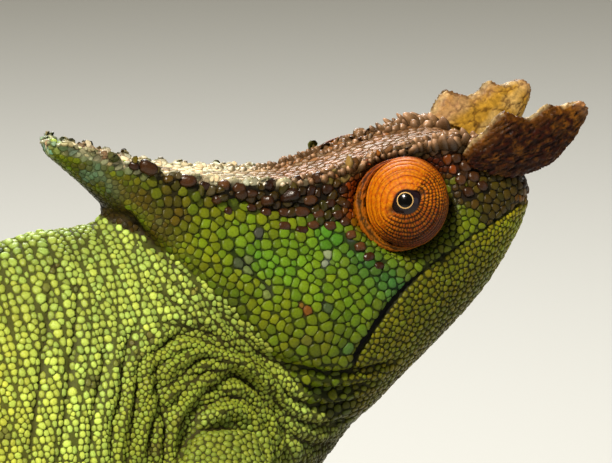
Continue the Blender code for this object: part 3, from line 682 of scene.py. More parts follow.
# the crest over each side of the head, as (forward, up, out)
crestLine = [(-0.0405, 0.0392, 0.0015), (-0.0378, 0.0365, 0.0038), (-0.0325, 0.0304, 0.0054),
             (-0.0265, 0.0236, 0.0062), (-0.0182, 0.0166, 0.0066), (-0.0102, 0.0108, 0.0066),
             (0.0002, 0.0071, 0.0064), (0.0084, 0.0042, 0.0070), (0.0156, 0.0005, 0.0078),
             (0.0204, -0.0050, 0.0070), (0.0228, -0.0115, 0.0034)]
crestCurve = np.array([tuple(p) for p in curveThrough(crestLine, 0.0005)])
crestSorted = crestCurve[np.argsort(crestCurve[:, 0])]
mouthSorted = mouthCurve[np.argsort(mouthCurve[:, 0])]
rearOfHead = [(-0.040, -0.0270), (-0.031, -0.0300), (-0.015, -0.0312), (-0.004, -0.0333),
              (0.008, -0.0348), (0.0241, -0.0383), (0.038, -0.0450)]     # up, forward


def crestAt(forward):
    # the crest's height and its distance from the mid-plane
    return (np.interp(forward, crestSorted[:, 0], crestSorted[:, k]) for k in (1, 2))


def mouthAt(points, part):
    # distance from the mouth line, the place along it from 0 to 1, how wide it gapes there, and
    # the way to the nearer edge of the gape
    gap = np.full(len(points), 1.0)
    share = np.zeros(len(points))
    way = np.full((len(points), 3), 1.0)
    on = np.flatnonzero(part == "head")
    flat = np.stack(toHead(points[on]), axis=1)
    ways = mouthCurve[None, :, :] - flat[:, None, :]
    gaps = np.linalg.norm(ways, axis=2)
    nearest = gaps.argmin(axis=1)
    rows = np.arange(len(on))
    gap[on], share[on] = gaps[rows, nearest], nearest / (len(mouthCurve) - 1)
    wide = mouthSet["shut"] + mouthSet["open"] * smoothStep(*mouthSet["opens"], share)
    wide = wide * smoothStep(1.02, 0.93, share)
    short = np.maximum(0.02, 1 - wide[on] / np.maximum(gap[on], 1e-6))[:, None]
    near = ways[rows, nearest] * short
    way[on] = near[:, :1] * np.array(headAxes[0]) + near[:, 1:] * np.array(headAxes[1])
    return gap, share, wide, way


def turretGap(points):
    # distance from the nearer turret's centre
    gaps = []
    for sign in (-1, 1):
        forward, out, up = bodyPlan["turretCentre"]
        gaps.append(np.linalg.norm(points - np.array(headPoint(forward, sign * out, up)), axis=1))
    return np.minimum(*gaps)


# dark and coloured marks: pixel, radius in pixels, colour, strength
markSet = [
    (55, 267, 5, "#4A3A22", 0.8), (75, 287, 5, "#4A3A22", 0.8), (47, 288, 4, "#54432A", 0.6),
    (133, 343, 6, "#3E2F1C", 0.85), (150, 338, 6, "#3E2F1C", 0.85), (118, 365, 6, "#3E2F1C", 0.8),
    (139, 354, 5, "#4A3A22", 0.6), (93, 383, 7, "#463723", 0.75), (5, 437, 6, "#463723", 0.7),
    (180, 420, 7, "#5E5428", 0.6), (156, 450, 7, "#5E5428", 0.6), (0, 250, 7, "#2F3A24", 0.9),
    (258, 236, 6, "#3C4148", 0.85), (252, 243, 5, "#4C5258", 0.7), (245, 268, 8, "#59634A", 0.6),
    (240, 262, 5, "#3A4036", 0.7), (314, 272, 5, "#3A4238", 0.85), (322, 290, 5, "#343A2E", 0.85),
    (325, 304, 5, "#3C4232", 0.8), (326, 265, 4, "#7C8A88", 0.7), (352, 238, 4, "#A8B2B6", 0.8),
    (329, 258, 4, "#94A09C", 0.7), (300, 307, 5, "#8C5A1E", 0.8), (306, 313, 5, "#6E3516", 0.85),
    (270, 290, 7, "#6E7B50", 0.5), (305, 340, 8, "#5A5E28", 0.5), (196, 290, 5, "#9A7428", 0.6),
    (345, 350, 8, "#4E7A3A", 0.5), (118, 168, 6, "#3E4634", 0.7), (47, 143, 4, "#8A5A38", 0.7),
    (44, 148, 3, "#4FA88A", 0.7), (56, 141, 4, "#6FB4A4", 0.6), (66, 144, 5, "#D2C69A", 0.7),
    (57, 150, 4, "#8FA05A", 0.6), (78, 148, 5, "#7A6A3E", 0.6), (90, 151, 5, "#C9BC90", 0.6),
    (104, 156, 5, "#6E4A2E", 0.6), (74, 140, 4, "#B9C9A4", 0.6), (112, 160, 5, "#4A4A30", 0.6),
    # the dark marks at 461, 192 and 474, 199, between the eye's lid and the beads beside it, are painted
    # shadow
    (160, 222, 5, "#47502C", 0.6), (455, 162, 11, "#7A3A0C", 0.8), (461, 192, 10, "#38200A", 0.9),
    (474, 199, 9, "#3A2808", 0.85),
    (523, 189, 5, "#B4A68E", 0.8), (530, 197, 4, "#A08E70", 0.7), (511, 246, 6, "#8A9A10", 0.7),
    (450, 206, 6, "#2A1E08", 0.8), (449, 219, 6, "#2E2808", 0.7), (455, 234, 6, "#3A3A0A", 0.5),
]
greenSet = [                             # brighter green patches of the cheek
    (330, 235, 20, "#2F7A20", 0.7), (362, 262, 18, "#1C5C28", 0.8), (385, 282, 18, "#1E5828", 0.8),
    (290, 262, 26, "#47801C", 0.5), (400, 290, 12, "#22683A", 0.7), (262, 262, 14, "#3A7E22", 0.5),
    (360, 310, 24, "#4C7614", 0.5), (320, 300, 30, "#507A16", 0.4), (240, 245, 16, "#3E7E20", 0.4),
    (226, 306, 20, "#3A4A0C", 0.75), (330, 345, 26, "#4A5408", 0.6), (290, 345, 18, "#424C08", 0.5),
]


def placedMarks(rows):
    # each mark's place on both sides, its radius, colour and strength
    made = []
    for px, py, radius, colour, strength in rows:
        hit = photoPoint(px, py)[0]
        if hit is None:
            continue
        for place in (hit, otherSide(hit)[0]):
            made.append((np.array(place), radius * cameraSet["pixel"], hexToLinear(colour), strength))
    return made


marks, greens = placedMarks(markSet), placedMarks(greenSet)
# how deep the brown band reaches below the crest, as (forward), (depth)
bandSet = ([-0.0400, -0.0360, -0.030, -0.016, -0.010, 0.004, 0.030],
           [0.0000, 0.0014, 0.0024, 0.0066, 0.0095, 0.0075, 0.0072])
palette = tones(cheek="#66740A", cheekLow="#444A06", neck="#BED65E", flank="#C6CC42",
                back="#7A9A48", belly="#B2B25C", jaw="#6A6A08", throat="#524E08", brown="#291306",
                pit="#8A3808", pitFront="#461A06", pitLow="#4A4A10", crown="#E8DEBC", streak="#6A4424",
                edge="#E6DCB8", browTan="#7A450C", snout="#361A04", lip="#9A6428", sheen="#6FA88A",
                limb="#6C7818", foot="#8A9A40", band="#56763A", tail="#84983A", mouth="#060402",
                fold="#241A06", rear="#2A2004", seam="#66561A", arm="#7E8A22", casque="#42330A")


def zonesAt(points, part):
    # how far each point belongs to each stretch of the head, from 0 to 1, and its distances there
    forward, up = toHead(points)
    crestUp, crestOut = crestAt(forward)
    rear = np.interp(up, *np.array(rearOfHead).T)
    onHead = (part == "head").astype(float)
    crown = (onHead * smoothStep(0.0004, -0.0003, np.abs(points[:, 1]) - crestOut)
             * smoothStep(-0.0035, -0.0015, up - crestUp))
    below = crestUp - up
    deep = np.interp(forward, *bandSet)
    ragged = 0.0014 * cloud(points, 0.006, 4)
    brown = onHead * (1 - crown) * (1 - smoothStep(deep - 0.0012, deep + 0.0008, below + ragged))
    brown = brown * smoothStep(-0.0002, 0.0004, below)
    gape, share, wide, _ = mouthAt(points, part)
    line = np.interp(forward, *mouthSorted.T)
    jaw = onHead * smoothStep(-0.0004, 0.0004, line - up) * smoothStep(-0.0235, -0.0205, forward)
    snout = onHead * smoothStep(0.0085, 0.0120, forward + 0.0012 * cloud(points, 0.004, 5)) * (1 - jaw)
    socket = onHead * (1 - smoothStep(0.0090, 0.0108, turretGap(points))) * (1 - crown)
    over = smoothStep(-0.0030, 0.0030, up + 0.25 * forward - bodyPlan["turretCentre"][2])
    _, shoulder, reach = shoulderAt(points, part)
    edge = onHead * smoothStep(0.0019, 0.0009, np.hypot(below, np.abs(points[:, 1]) - crestOut))
    return {"forward": forward, "up": up, "crown": crown, "edge": edge * (forward < -0.006),
            "brown": brown, "jaw": jaw, "snout": snout, "pit": socket * over,
            "pitLow": socket * (1 - over), "gape": gape, "share": share, "wide": wide,
            "below": below, "rearGap": forward - rear, "onHead": onHead,
            "tip": smoothStep(-0.030, -0.035, forward),
            "shoulder": shoulder, "reach": reach}


def markings(points, normals, part, zones, dark):
    # the animal's colours at each point, with painted light and shade in places; the skin and every scale
    # take theirs from here
    p = palette
    x, z, facing = points[:, 0], points[:, 2], normals[:, 2]
    forward, up, head = zones["forward"], zones["up"], zones["onHead"]
    trunk, limb, foot, tail = (part == name for name in ("trunk", "limb", "foot", "tail"))
    soft, small = cloud(points, 0.017, 1), cloud(points, 0.0045, 2)
    colour = mixed(p["flank"], p["neck"], smoothStep(0.030, 0.060, x))
    colour = colour * (1 - 0.36 * smoothStep(0.25, 0.75, facing))[:, None]
    # painted light: the lower flank toward the front is brightened where the lamps leave it in shade
    low = smoothStep(0.196, 0.168, z) * smoothStep(0.074, 0.050, x)
    colour = colour * (1 + 0.45 * low * smoothStep(0.010, 0.035, x))[:, None]
    slant = (x * 0.55 + z * 0.83) * 2 * math.pi / 0.042
    stripe = smoothStep(0.45, 0.95, np.sin(slant + 0.8 * soft)) * smoothStep(0.040, 0.010, x)
    ringed = smoothStep(0.2, 0.9, np.sin(x * 260 - z * 190 + soft))
    cheek = mixed(p["cheek"], p["cheekLow"], smoothStep(-0.012, -0.026, up))
    # painted shade: the throat under the head is darkened toward a dimmed throat colour
    shadeBelowHead = trunk * smoothStep(-0.018, -0.030, up) * smoothStep(-0.026, -0.010, zones["rearGap"])
    colour = layered(
        colour, (p["back"], 0.75 * smoothStep(0.55, 0.95, facing) * smoothStep(0.075, 0.03, x)),
        (p["band"], 0.55 * stripe * trunk), (p["belly"], 0.6 * smoothStep(0.1, 0.8, -facing) * trunk),
        (p["limb"], 0.85 * limb * smoothStep(0.185, 0.165, z)),
        (p["arm"], 0.8 * zones["shoulder"] * trunk + 0.6 * limb), (p["foot"], foot),
        (p["tail"], 0.9 * tail), (p["band"], 0.45 * ringed * tail),
        (p["throat"] * 0.55, 0.92 * shadeBelowHead), (cheek, head))
    for place, radius, tone, strength in greens:
        gap = np.linalg.norm(points - place, axis=1) / radius
        colour = mixed(colour, tone, head * strength * np.exp(-gap ** 2 * 0.8))
    behind = head * smoothStep(0.0030, 0.0, zones["rearGap"])
    jaw = p["jaw"] * (0.9 + 1.3 * smoothStep(0.006, 0.020, forward))[:, None]
    lips = head * smoothStep(0.0022, 0.0008, zones["gape"]) * smoothStep(0.20, 0.02, zones["share"])
    pit = mixed(p["pit"], p["pitFront"], smoothStep(0.002, 0.006, forward))
    flecks = smoothStep(-0.1, 0.7, cloud(points * (1, 2.6, 1), 0.006, 8))
    crown = layered(
        p["crown"], (p["streak"], 0.65 * flecks),
        (p["browTan"], 0.92 * smoothStep(-0.0210, -0.0100, forward) * (1 - 0.3 * flecks)),
        (p["sheen"], smoothStep(-0.034, -0.040, forward) * 0.30))
    # painted highlight: a thin pale line in the edge colour along the crest's edge over the casque
    rim = head * (1 - smoothStep(0.0002, 0.0013, np.abs(zones["below"] - 0.0002)))
    rim = rim * smoothStep(-0.0080, -0.0120, forward) * smoothStep(-0.0300, -0.0240, forward)
    casque = head * (1 - zones["crown"]) * smoothStep(-0.0220, -0.0270, forward)
    casque = casque * smoothStep(0.012, 0.018, up) * smoothStep(-0.2, 0.6, small + 0.5)
    tip = head * smoothStep(-0.0335, -0.0385, forward) * smoothStep(0.022, 0.030, up)
    colour = layered(
        colour, (p["rear"], 0.85 * behind * smoothStep(-0.005, 0.004, up)), (jaw, 0.9 * zones["jaw"]),
        (p["throat"], 0.8 * zones["jaw"] * smoothStep(-0.020, -0.027, up)),
        (p["snout"], 0.85 * zones["snout"]), (p["lip"], 0.85 * lips),
        (p["brown"], zones["brown"] * (0.93 + 0.07 * small)), (pit, 0.9 * zones["pit"]),
        (p["pitLow"], 0.6 * zones["pitLow"] * (forward > -0.004)), (crown, zones["crown"]),
        (p["edge"], 0.65 * rim), (p["casque"], 0.85 * casque),
        (p["sheen"], 0.30 * tip * smoothStep(-0.3, 0.5, small)),
        (p["rear"], 0.85 * behind * smoothStep(0.002, 0.008, up)))
    for place, radius, tone, strength in marks:
        gap = np.linalg.norm(points - place, axis=1) / radius + 0.25 * small
        colour = mixed(colour, tone, strength * smoothStep(1.25, 0.7, gap))
    colour = colour * (1 + 0.10 * soft + 0.07 * small)[:, None]
    # painted shade: the mouth's slit is filled with near black
    shut = head * smoothStep(1.6, 0.9, zones["gape"] / zones["wide"])
    # painted shade: the folds darken toward the fold colour
    return layered(colour, (p["fold"], 0.8 * dark), (p["mouth"], shut))


def fineWhereNeeded():
    # smaller faces on the head and along the folds
    bm = editing(skinMesh)
    depth = foldsAt(skinPoints)[0]
    fine = (np.abs(depth) > 0.00004) | ((skinPoints[:, 0] > 0.050) & (skinPoints[:, 2] > 0.160))
    bm.edges.ensure_lookup_table()
    near = [e for e in bm.edges if fine[e.verts[0].index] and fine[e.verts[1].index]]
    bmesh.ops.subdivide_edges(bm, edges=near, cuts=1, use_grid_fill=True)
    bmesh.ops.triangulate(bm, faces=[f for f in bm.faces if len(f.verts) > 4])
    return readMesh(written(bm, skinMesh))


def dressSkin():
    # folds and the mouth are pressed into the skin, then it is coloured; the gaps between scales are darker
    # skin with painted shade
    points, normals, _ = fineWhereNeeded()
    part = partOf(points)
    depth, dark, _ = foldsAt(points)
    zones = zonesAt(points, part)
    slit = np.exp(-(zones["gape"] / (1.5 * zones["wide"] + 0.00006)) ** 2) * zones["onHead"]
    depth = depth - slit * (0.0005 + 1.2 * zones["wide"]) * (zones["wide"] > 0.00005)
    depth += shoulderAt(points, part)[0]
    depth += netLift(points) * (part == "trunk") * (1 - zones["shoulder"])
    before = points
    points, normals, corners = writePoints(skinMesh, points + normals * depth[:, None])
    gaps = markings(points, normals, part, zones, dark)
    # the skin between the scales is darker skin, darkened further as painted shade in the gaps, least on the
    # pale parts of the head
    seamSkinAndShade = mixed(gaps * 0.60, palette["seam"], 0.40) * 0.36
    pale = np.maximum(zones["edge"], np.maximum(zones["tip"], 0.8 * zones["crown"])) * zones["onHead"]
    gaps = mixed(seamSkinAndShade, gaps * (0.20 + 0.45 * pale)[:, None], zones["onHead"])
    paint(skinMesh, gaps)
    skinMesh.shade_smooth()
    piece = newPiece("skin", skinMesh, innerSkin)
    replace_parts(piece, *fleshNodes)
    print("skin dressed:", len(corners), "triangles")
    return piece, before, points, normals, corners, part, zones


skin, skinBefore, skinPoints, skinNormals, skinCorners, skinPart, skinZones = dressSkin()


def unwrap(piece):
    # unwraps a piece by its own shape; gives the place on the unwrap that is nearest to a point
    mesh = piece.data
    bpy.context.view_layer.objects.active = piece
    piece.select_set(True)
    bpy.ops.object.mode_set(mode="EDIT")
    bpy.ops.mesh.select_all(action="SELECT")
    bpy.ops.uv.smart_project(angle_limit=math.radians(66), island_margin=0.002)
    bpy.ops.object.mode_set(mode="OBJECT")
    piece.select_set(False)
    layer = mesh.uv_layers.active
    layer.name = "OFBake"
    flat = readAll(layer.data, "uv", 2)
    starts, totals = (readAll(mesh.polygons, key, 1, int) for key in ("loop_start", "loop_total"))
    centres = np.add.reduceat(flat, starts, axis=0) / totals[:, None]
    tree = pointTree(readAll(mesh.polygons, "center", 3))
    return lambda points: centres[[tree.find(p)[1] for p in points.tolist()]]


skinPlaces = unwrap(skin)
print("skin unwrapped")


# scales: their sizes over the body, their roots, and their shapes

# the distance between neighbouring scales; on the trunk it changes with the height
sizeSet = {"rear": 0.00128, "nape": 0.00104, "throat": 0.00080, "shoulder": 0.00086,
           "limb": (0.00108, 0.00145), "foot": 0.00108, "tail": 0.00145, "cheek": 0.00122,
           "behind": 0.00068, "tip": 0.00068, "byMouth": 0.00092,
           "head": {"jaw": 0.00096, "brown": 0.00112, "crown": 0.00080, "pit": 0.00058,
                    "pitLow": 0.00078}}
rowHeights = ([0.150, 0.185, 0.200, 0.212, 0.224], [0.00125, 0.00100, 0.00104, 0.00124, 0.00140])
rowStep = 0.00002
stackSteps = np.arange(0, 0.26, rowStep)
stackedRows = np.cumsum(rowStep / np.interp(stackSteps, *rowHeights))     # rows below each height


def rearAndNape(points):
    # where a point is behind the shoulder, and where it is on the nape
    return points[:, 0] < 0.020, (points[:, 0] > 0.058) & (points[:, 2] > 0.2)


def scaleSizes(points, part, zones):
    # the distance between the middles of neighbouring scales
    s = sizeSet
    trunk, onHead = part == "trunk", part == "head"
    rear, nape = rearAndNape(points)
    size = np.interp(points[:, 2], *rowHeights)
    limb = np.interp(zones["reach"], [0.020, 0.050], s["limb"])
    for where, value in (
            (rear, np.maximum(size, s["rear"])), (nape, s["nape"]),
            (trunk & (zones["up"] < -0.026) & (zones["rearGap"] > -0.014), s["throat"]),
            (trunk & (zones["shoulder"] > 0.3), s["shoulder"]), (part == "limb", limb),
            (part == "foot", s["foot"]), (part == "tail", s["tail"])):
        size = np.where(where, value, size)
    cheek = s["cheek"] - 0.00024 * smoothStep(0.008, 0.000, zones["rearGap"])
    cheek -= 0.00022 * smoothStep(-0.006, 0.002, zones["forward"])
    cheek -= 0.00024 * smoothStep(-0.016, -0.026, zones["up"])
    behind = smoothStep(0.0030, 0.0010, zones["rearGap"])
    cheek = cheek + (s["behind"] - cheek) * behind
    size = np.where(onHead, cheek, size)
    for key, value in s["head"].items():
        size = np.where(onHead, size + (value - size) * zones[key], size)
    thin = np.maximum(onHead * zones["tip"], 0.8 * zones["edge"])
    size = size + (np.minimum(size, s["tip"]) - size) * thin
    return np.where(onHead & (zones["gape"] < 0.0016), np.minimum(size, s["byMouth"]), size)


def rowGaps(points, part, zones, sizes):
    # how far each point is from its place in the rows that its scales keep: between the
    # creases on the trunk, and along both sides of the mouth
    first, _ = netPhases(points)
    across = first * np.maximum(1, np.round(netSet["gap"] / sizes)) - 0.5
    rear, nape = rearAndNape(points)
    down = np.interp(points[:, 2], stackSteps, stackedRows)
    down = np.where(rear, points[:, 2] / sizeSet["rear"], down)
    down = np.where(nape, points[:, 2] / sizeSet["nape"], down)
    byMouth = (zones["jaw"] > 0.5) | ((part == "head") & (zones["gape"] < 0.0021))
    across = np.where(byMouth, (zones["gape"] - zones["wide"]) / sizes - 0.42, across)
    down = np.where(byMouth, zones["forward"] / sizes - 0.5 * (np.round(across) % 2), down)
    gaps = np.random.default_rng(2).uniform(0.0, 0.7, len(points))
    on = ((part == "trunk") & (np.abs(points[:, 1]) > 0.006)) | byMouth
    near = np.hypot(across - np.round(across), down - np.round(down))
    return np.where(on, near, gaps)


scatterSet = {"crowd": 6.0, "room": 0.74, "hexagon": 0.866}    # tries per scale, room that each keeps


def scatter(points, normals, corners, sizes, variety, seed, gapsAt=None):
    # evenly spread roots, closer where scales are small; large ones claim their room first
    draw = np.random.default_rng(seed)
    a, b, c = (points[corners[:, k]] for k in range(3))
    area = np.linalg.norm(np.cross(b - a, c - a), axis=1) / 2
    wanted = area / (scatterSet["hexagon"] * sizes[corners].mean(axis=1) ** 2)
    count = int(wanted.sum() * scatterSet["crowd"])
    chosen = draw.choice(len(area), count, p=wanted / wanted.sum())
    u, v = draw.random(count), draw.random(count)
    flip = u + v > 1
    u[flip], v[flip] = 1 - u[flip], 1 - v[flip]
    shares = np.stack([1 - u - v, u, v], axis=1)[:, :, None]
    rows = corners[chosen]
    places = (points[rows] * shares).sum(axis=1)
    facing = unit((normals[rows] * shares).sum(axis=1))
    spread = (variety[rows] * shares[:, :, 0]).sum(axis=1)
    factor = 1 + spread * draw.uniform(-1, 1, count)
    size = sizes[rows].mean(axis=1) * factor
    order = -factor + draw.uniform(0, 0.2, count)
    if gapsAt is not None:
        gaps = gapsAt(places, rows)
        order = np.where(spread > 0.2, order, gaps)
    tree, listed = pointTree(places), places.tolist()
    free = np.ones(count, bool)
    room = (size * scatterSet["room"]).tolist()
    kept = []
    for k in np.argsort(order).tolist():
        if free[k]:
            kept.append(k)
            for _, other, _ in tree.find_range(listed[k], room[k]):
                free[other] = False
    kept = np.array(kept)
    return places[kept], facing[kept], size[kept], rows[kept], shares[kept]


# neighbours looked at, a size's claim on the ground between two scales, the room left at a
# crease, the least and most that a scale reaches in its own size, and how far corners are eased
cellSet = {"near": 12, "claim": 0.42, "margin": 0.00006, "least": 0.22, "most": 0.86, "ease": 0.09}


def cellRadii(points, normals, sizes, sides, lie, stretch, walls):
    # each scale's outline: how far it reaches each way before the next scale's ground or a crease
    c = cellSet
    tree = pointTree(points)
    around = np.array([[other for _, other, _ in tree.find_n(place, c["near"])]
                       for place in points.tolist()])
    ways = points[around] - points[:, None, :]
    across = unit(lie - normals * (lie * normals).sum(axis=1)[:, None])
    along = np.cross(normals, across)
    flat = np.stack([(ways * across[:, None]).sum(axis=2), (ways * along[:, None]).sum(axis=2)], axis=2)
    metric = np.stack([1 / stretch ** 2, np.ones(len(points))], axis=1)
    claim = sizes ** 2 * c["claim"]
    reach = ((flat ** 2 * metric[:, None]).sum(axis=2) + claim[:, None] - claim[around]) / 2
    angles = turnsOf(sides)
    heading = np.stack([np.cos(angles), np.sin(angles)])
    toward = (flat * metric[:, None]) @ heading
    with np.errstate(divide="ignore", invalid="ignore"):
        limit = np.where(toward > 1e-7, reach[:, :, None] / toward, np.inf)
        limit[:, 0] = np.inf
        limit[(normals[around] * normals[:, None]).sum(axis=2) < 0.1] = np.inf   # a thin part's far face
        limit = limit.min(axis=1)
        for wall in walls:
            flat = np.stack([(wall * across).sum(axis=1), (wall * along).sum(axis=1)], axis=1)
            long, seen = np.linalg.norm(wall, axis=1), np.linalg.norm(flat, axis=1)
            toward = (flat / seen[:, None]) @ heading
            met = (long - c["margin"])[:, None] / toward
            limit = np.where((toward > 0.01) & (seen > 0.3 * long)[:, None], np.minimum(limit, met), limit)
    longest = c["most"] * sizes[:, None] * stretch[:, None] ** 0.5
    radii = np.clip(limit, c["least"] * sizes[:, None], longest)
    beside = np.roll(radii, 1, axis=1) + np.roll(radii, -1, axis=1)
    return c["ease"] * beside + (1 - 2 * c["ease"]) * radii, across, along


def withSides(radii, count):
    # the same outlines with fewer corners
    turns = np.arange(count) * radii.shape[1] / count
    low = turns.astype(int)
    return radii[:, low] + (np.roll(radii, -1, axis=1)[:, low] - radii[:, low]) * (turns - low)


# a scale's rings, each (share of its outline, share of its height, painted shade); below 0 is sunk; the
# painted shade darkens each scale's foot and lightens its top, and the peak's bright tips are partly the
# spikes' own pale colour, partly painted highlight
domes = {
    "plate": [(1.0, -1.0, 0.20), (0.945, 0.58, 0.66), (0.72, 0.97, 1.0)],
    "bead": [(1.0, -1.0, 0.20), (0.93, 0.40, 0.60), (0.62, 0.90, 1.0)],
    "plain": [(1.0, -1.0, 0.24), (0.87, 0.62, 0.84)],
    "bold": [(1.0, -1.0, 0.25), (0.94, 0.42, 0.62), (0.74, 0.82, 0.92), (0.40, 0.98, 1.0)],
    "peak": [(1.0, -1.0, 0.30), (0.85, 0.24, 0.60), (0.58, 0.62, 1.00), (0.30, 0.92, 1.90)],
}
cornersOf = {"plain": 8, "plate": 10, "bead": 8, "bold": 10}
patchHalf = 0.0015                       # half the width of a scale's patch on the skin's unwrap


def scalePiece(name, roots, normals, across, along, radii, heights, tints, dome, material,
               placesAt, sink=0.00030):
    # one mesh of many low domes, each a patch of its root's colour and place, with painted shade toward its
    # foot
    profile = domes[dome]
    count, sides = radii.shape
    angles = turnsOf(sides)
    spoke = (across[:, None, :] * np.cos(angles)[None, :, None]
             + along[:, None, :] * np.sin(angles)[None, :, None]) * radii[:, :, None]
    rings, shades = [], []
    for share, level, shade in profile:
        lift = heights * level if level >= 0 else np.full(count, level * sink)
        rings.append(roots[:, None, :] + spoke * share + normals[:, None, :] * lift[:, None, None])
        shades.append(np.full((count, sides), shade))
    top = roots + normals * heights[:, None]
    levels = len(profile)
    each = sides * levels + 1
    verts = np.concatenate([*rings, top[:, None, :]], axis=1).reshape(-1, 3)
    shade = np.concatenate([*shades, np.full((count, 1), profile[-1][2] * 1.05)], axis=1)
    quads = ringQuads(levels, sides)
    last = (levels - 1) * sides + np.arange(sides)
    fans = np.stack([last, np.roll(last, -1), np.full(sides, each - 1)], axis=1)
    base = (np.arange(count) * each)[:, None, None]
    loops = np.concatenate([(quads[None] + base).reshape(count, -1),
                            (fans[None] + base).reshape(count, -1)], axis=1).ravel()
    sizes = np.tile(np.concatenate([np.full(len(quads), 4), np.full(len(fans), 3)]), count)
    mesh = bpy.data.meshes.new(name)
    mesh.vertices.add(len(verts))
    mesh.vertices.foreach_set("co", verts.ravel())
    mesh.loops.add(len(loops))
    mesh.loops.foreach_set("vertex_index", loops.astype(np.int32))
    mesh.polygons.add(len(sizes))
    starts = np.concatenate([[0], np.cumsum(sizes)[:-1]])
    mesh.polygons.foreach_set("loop_start", starts.astype(np.int32))
    mesh.update(calc_edges=True)
    mesh.validate()
    # painted shade: each ring's shade darkens the tint, and the grooves keep more red than blue
    deep = shade.reshape(-1, 1) ** (1.0, 1.08, 1.35)     # grooves keep more red than blue
    paint(mesh, np.repeat(tints, each, axis=0) * deep)
    local = np.zeros((count, each, 2))
    for j, (share, _, _) in enumerate(profile):
        local[:, j * sides:(j + 1) * sides, 0] = share * np.cos(angles) * patchHalf
        local[:, j * sides:(j + 1) * sides, 1] = share * np.sin(angles) * patchHalf
    places = np.repeat(placesAt(roots), each, axis=0) + local.reshape(-1, 2)
    layer = mesh.uv_layers.new(name="OFBake")
    layer.data.foreach_set("uv", places[loops].astype(np.float32).ravel())
    mesh.shade_smooth()
    newPiece(name, mesh, material)
    print(name + ":", count, "scales,", int((sizes - 2).sum()), "triangles")


# the large glossy plates under the crest and before the eye: pixel, length and width in mm
plateSet = [
    (148, 168, 3.4, 2.1), (170, 170, 2.9, 1.7), (187, 181, 3.4, 2.0), (205, 186, 2.3, 1.5),
    (200, 175, 2.5, 1.3), (224, 185, 2.0, 1.8), (239, 188, 2.3, 1.7), (270, 185, 3.2, 2.1),
    (300, 180, 2.7, 1.5), (317, 178, 2.1, 1.8), (252, 194, 2.3, 1.2), (267, 201, 2.2, 1.7),
    (289, 195, 3.7, 2.1), (327, 189, 2.2, 1.7), (310, 200, 2.6, 1.6), (301, 212, 3.1, 1.6),
    (318, 214, 2.2, 1.5), (284, 226, 2.4, 1.4), (302, 230, 2.5, 1.2), (266, 212, 1.9, 1.4),
    (228, 211, 1.5, 1.4), (251, 208, 1.8, 1.3), (217, 200, 1.6, 1.5), (313, 225, 2.2, 1.4),
    (330, 226, 2.2, 1.6), (330, 203, 2.0, 1.5), (338, 215, 2.0, 1.6), (284, 213, 2.0, 1.4),
    (134, 166, 1.8, 1.3), (346, 205, 1.7, 1.4), (345, 222, 2.0, 1.5), (351, 235, 1.8, 1.5),
    (360, 247, 2.1, 1.6), (369, 257, 2.1, 1.5), (379, 266, 1.8, 1.3), (343, 190, 1.8, 1.4),
    (456, 158, 2.0, 1.7), (465, 166, 2.2, 1.9), (471, 152, 2.1, 1.8), (461, 180, 2.0, 1.7),
    (473, 177, 2.1, 1.8), (480, 163, 2.2, 1.9), (468, 192, 2.0, 1.7), (482, 186, 2.0, 1.7),
]


def plateRows():
    # the plates' places, facings, directions and sizes on both sides of the head
    draw = np.random.default_rng(9)
    rows = []
    for px, py, long, wide in plateSet:
        place, facing = photoPoint(px, py)
        if place is None:
            continue
        forward = toHead(np.array([place]))[0][0]
        k = int(np.abs(crestCurve[:, 0] - forward).argmin())
        a, b = crestCurve[max(k - 4, 0)], crestCurve[min(k + 4, len(crestCurve) - 1)]
        lie = headPoint(b[0], 0, b[1]) - headPoint(a[0], 0, a[1])
        for side in range(2):
            if abs(facing.y) > 0.45:
                rows.append((place, facing, lie, long * 0.001, wide * 0.001))
            low = Vector(headAxes[1]) * (0.0026 if py < 192 and px < 330 else 0.0)   # below the crest
            place, facing = otherSide(place - low)
            long *= 1 + 0.12 * draw.uniform(-1, 1)
    return columns(rows)


plateAt, plateFacing, plateLie, plateLong, plateWide = plateRows()
plateLie = unit(plateLie - plateFacing * (plateLie * plateFacing).sum(axis=1)[:, None])
plateSide = np.cross(plateFacing, plateLie)


def underPlate(points):
    # true where a larger plate already covers the skin
    ways = points[:, None, :] - plateAt[None]
    u = (ways * plateLie[None]).sum(axis=2) / (plateLong / 2)
    v = (ways * plateSide[None]).sum(axis=2) / (plateWide / 2)
    w = (ways * plateFacing[None]).sum(axis=2) / 0.0015
    return ((u ** 2 + v ** 2 + w ** 2) < 0.80).any(axis=1)


def makePlates():
    # rounded oblongs with a ragged outline
    draw = np.random.default_rng(21)
    count, sides = len(plateAt), 14
    angles = turnsOf(sides)
    rounded = (np.abs(np.cos(angles)) ** 2.5 + np.abs(np.sin(angles)) ** 2.5) ** (-1 / 2.5)
    u = rounded * np.cos(angles) * plateLong[:, None] / 2
    v = rounded * np.sin(angles) * plateWide[:, None] / 2
    angled = np.arctan2(v, u)
    reach = np.hypot(u, v) * (1 + 0.13 * draw.uniform(-1, 1, (count, sides)))
    radii = np.array([np.interp(angles, np.unwrap(row), r, period=2 * math.pi)
                      for row, r in zip(angled, reach)])
    tints = mixed(palette["brown"] * 0.9, palette["streak"], draw.uniform(0, 0.45, count))
    tints *= draw.uniform(0.65, 1.25, (count, 1))
    scalePiece("crest_plates", plateAt, plateFacing, plateLie, plateSide, radii, plateWide * 0.36,
               tints, "bold", plateSkin, skinPlaces)


makePlates()

spikeSet = {"from": -0.0175, "to": 0.0178, "step": 0.00080}


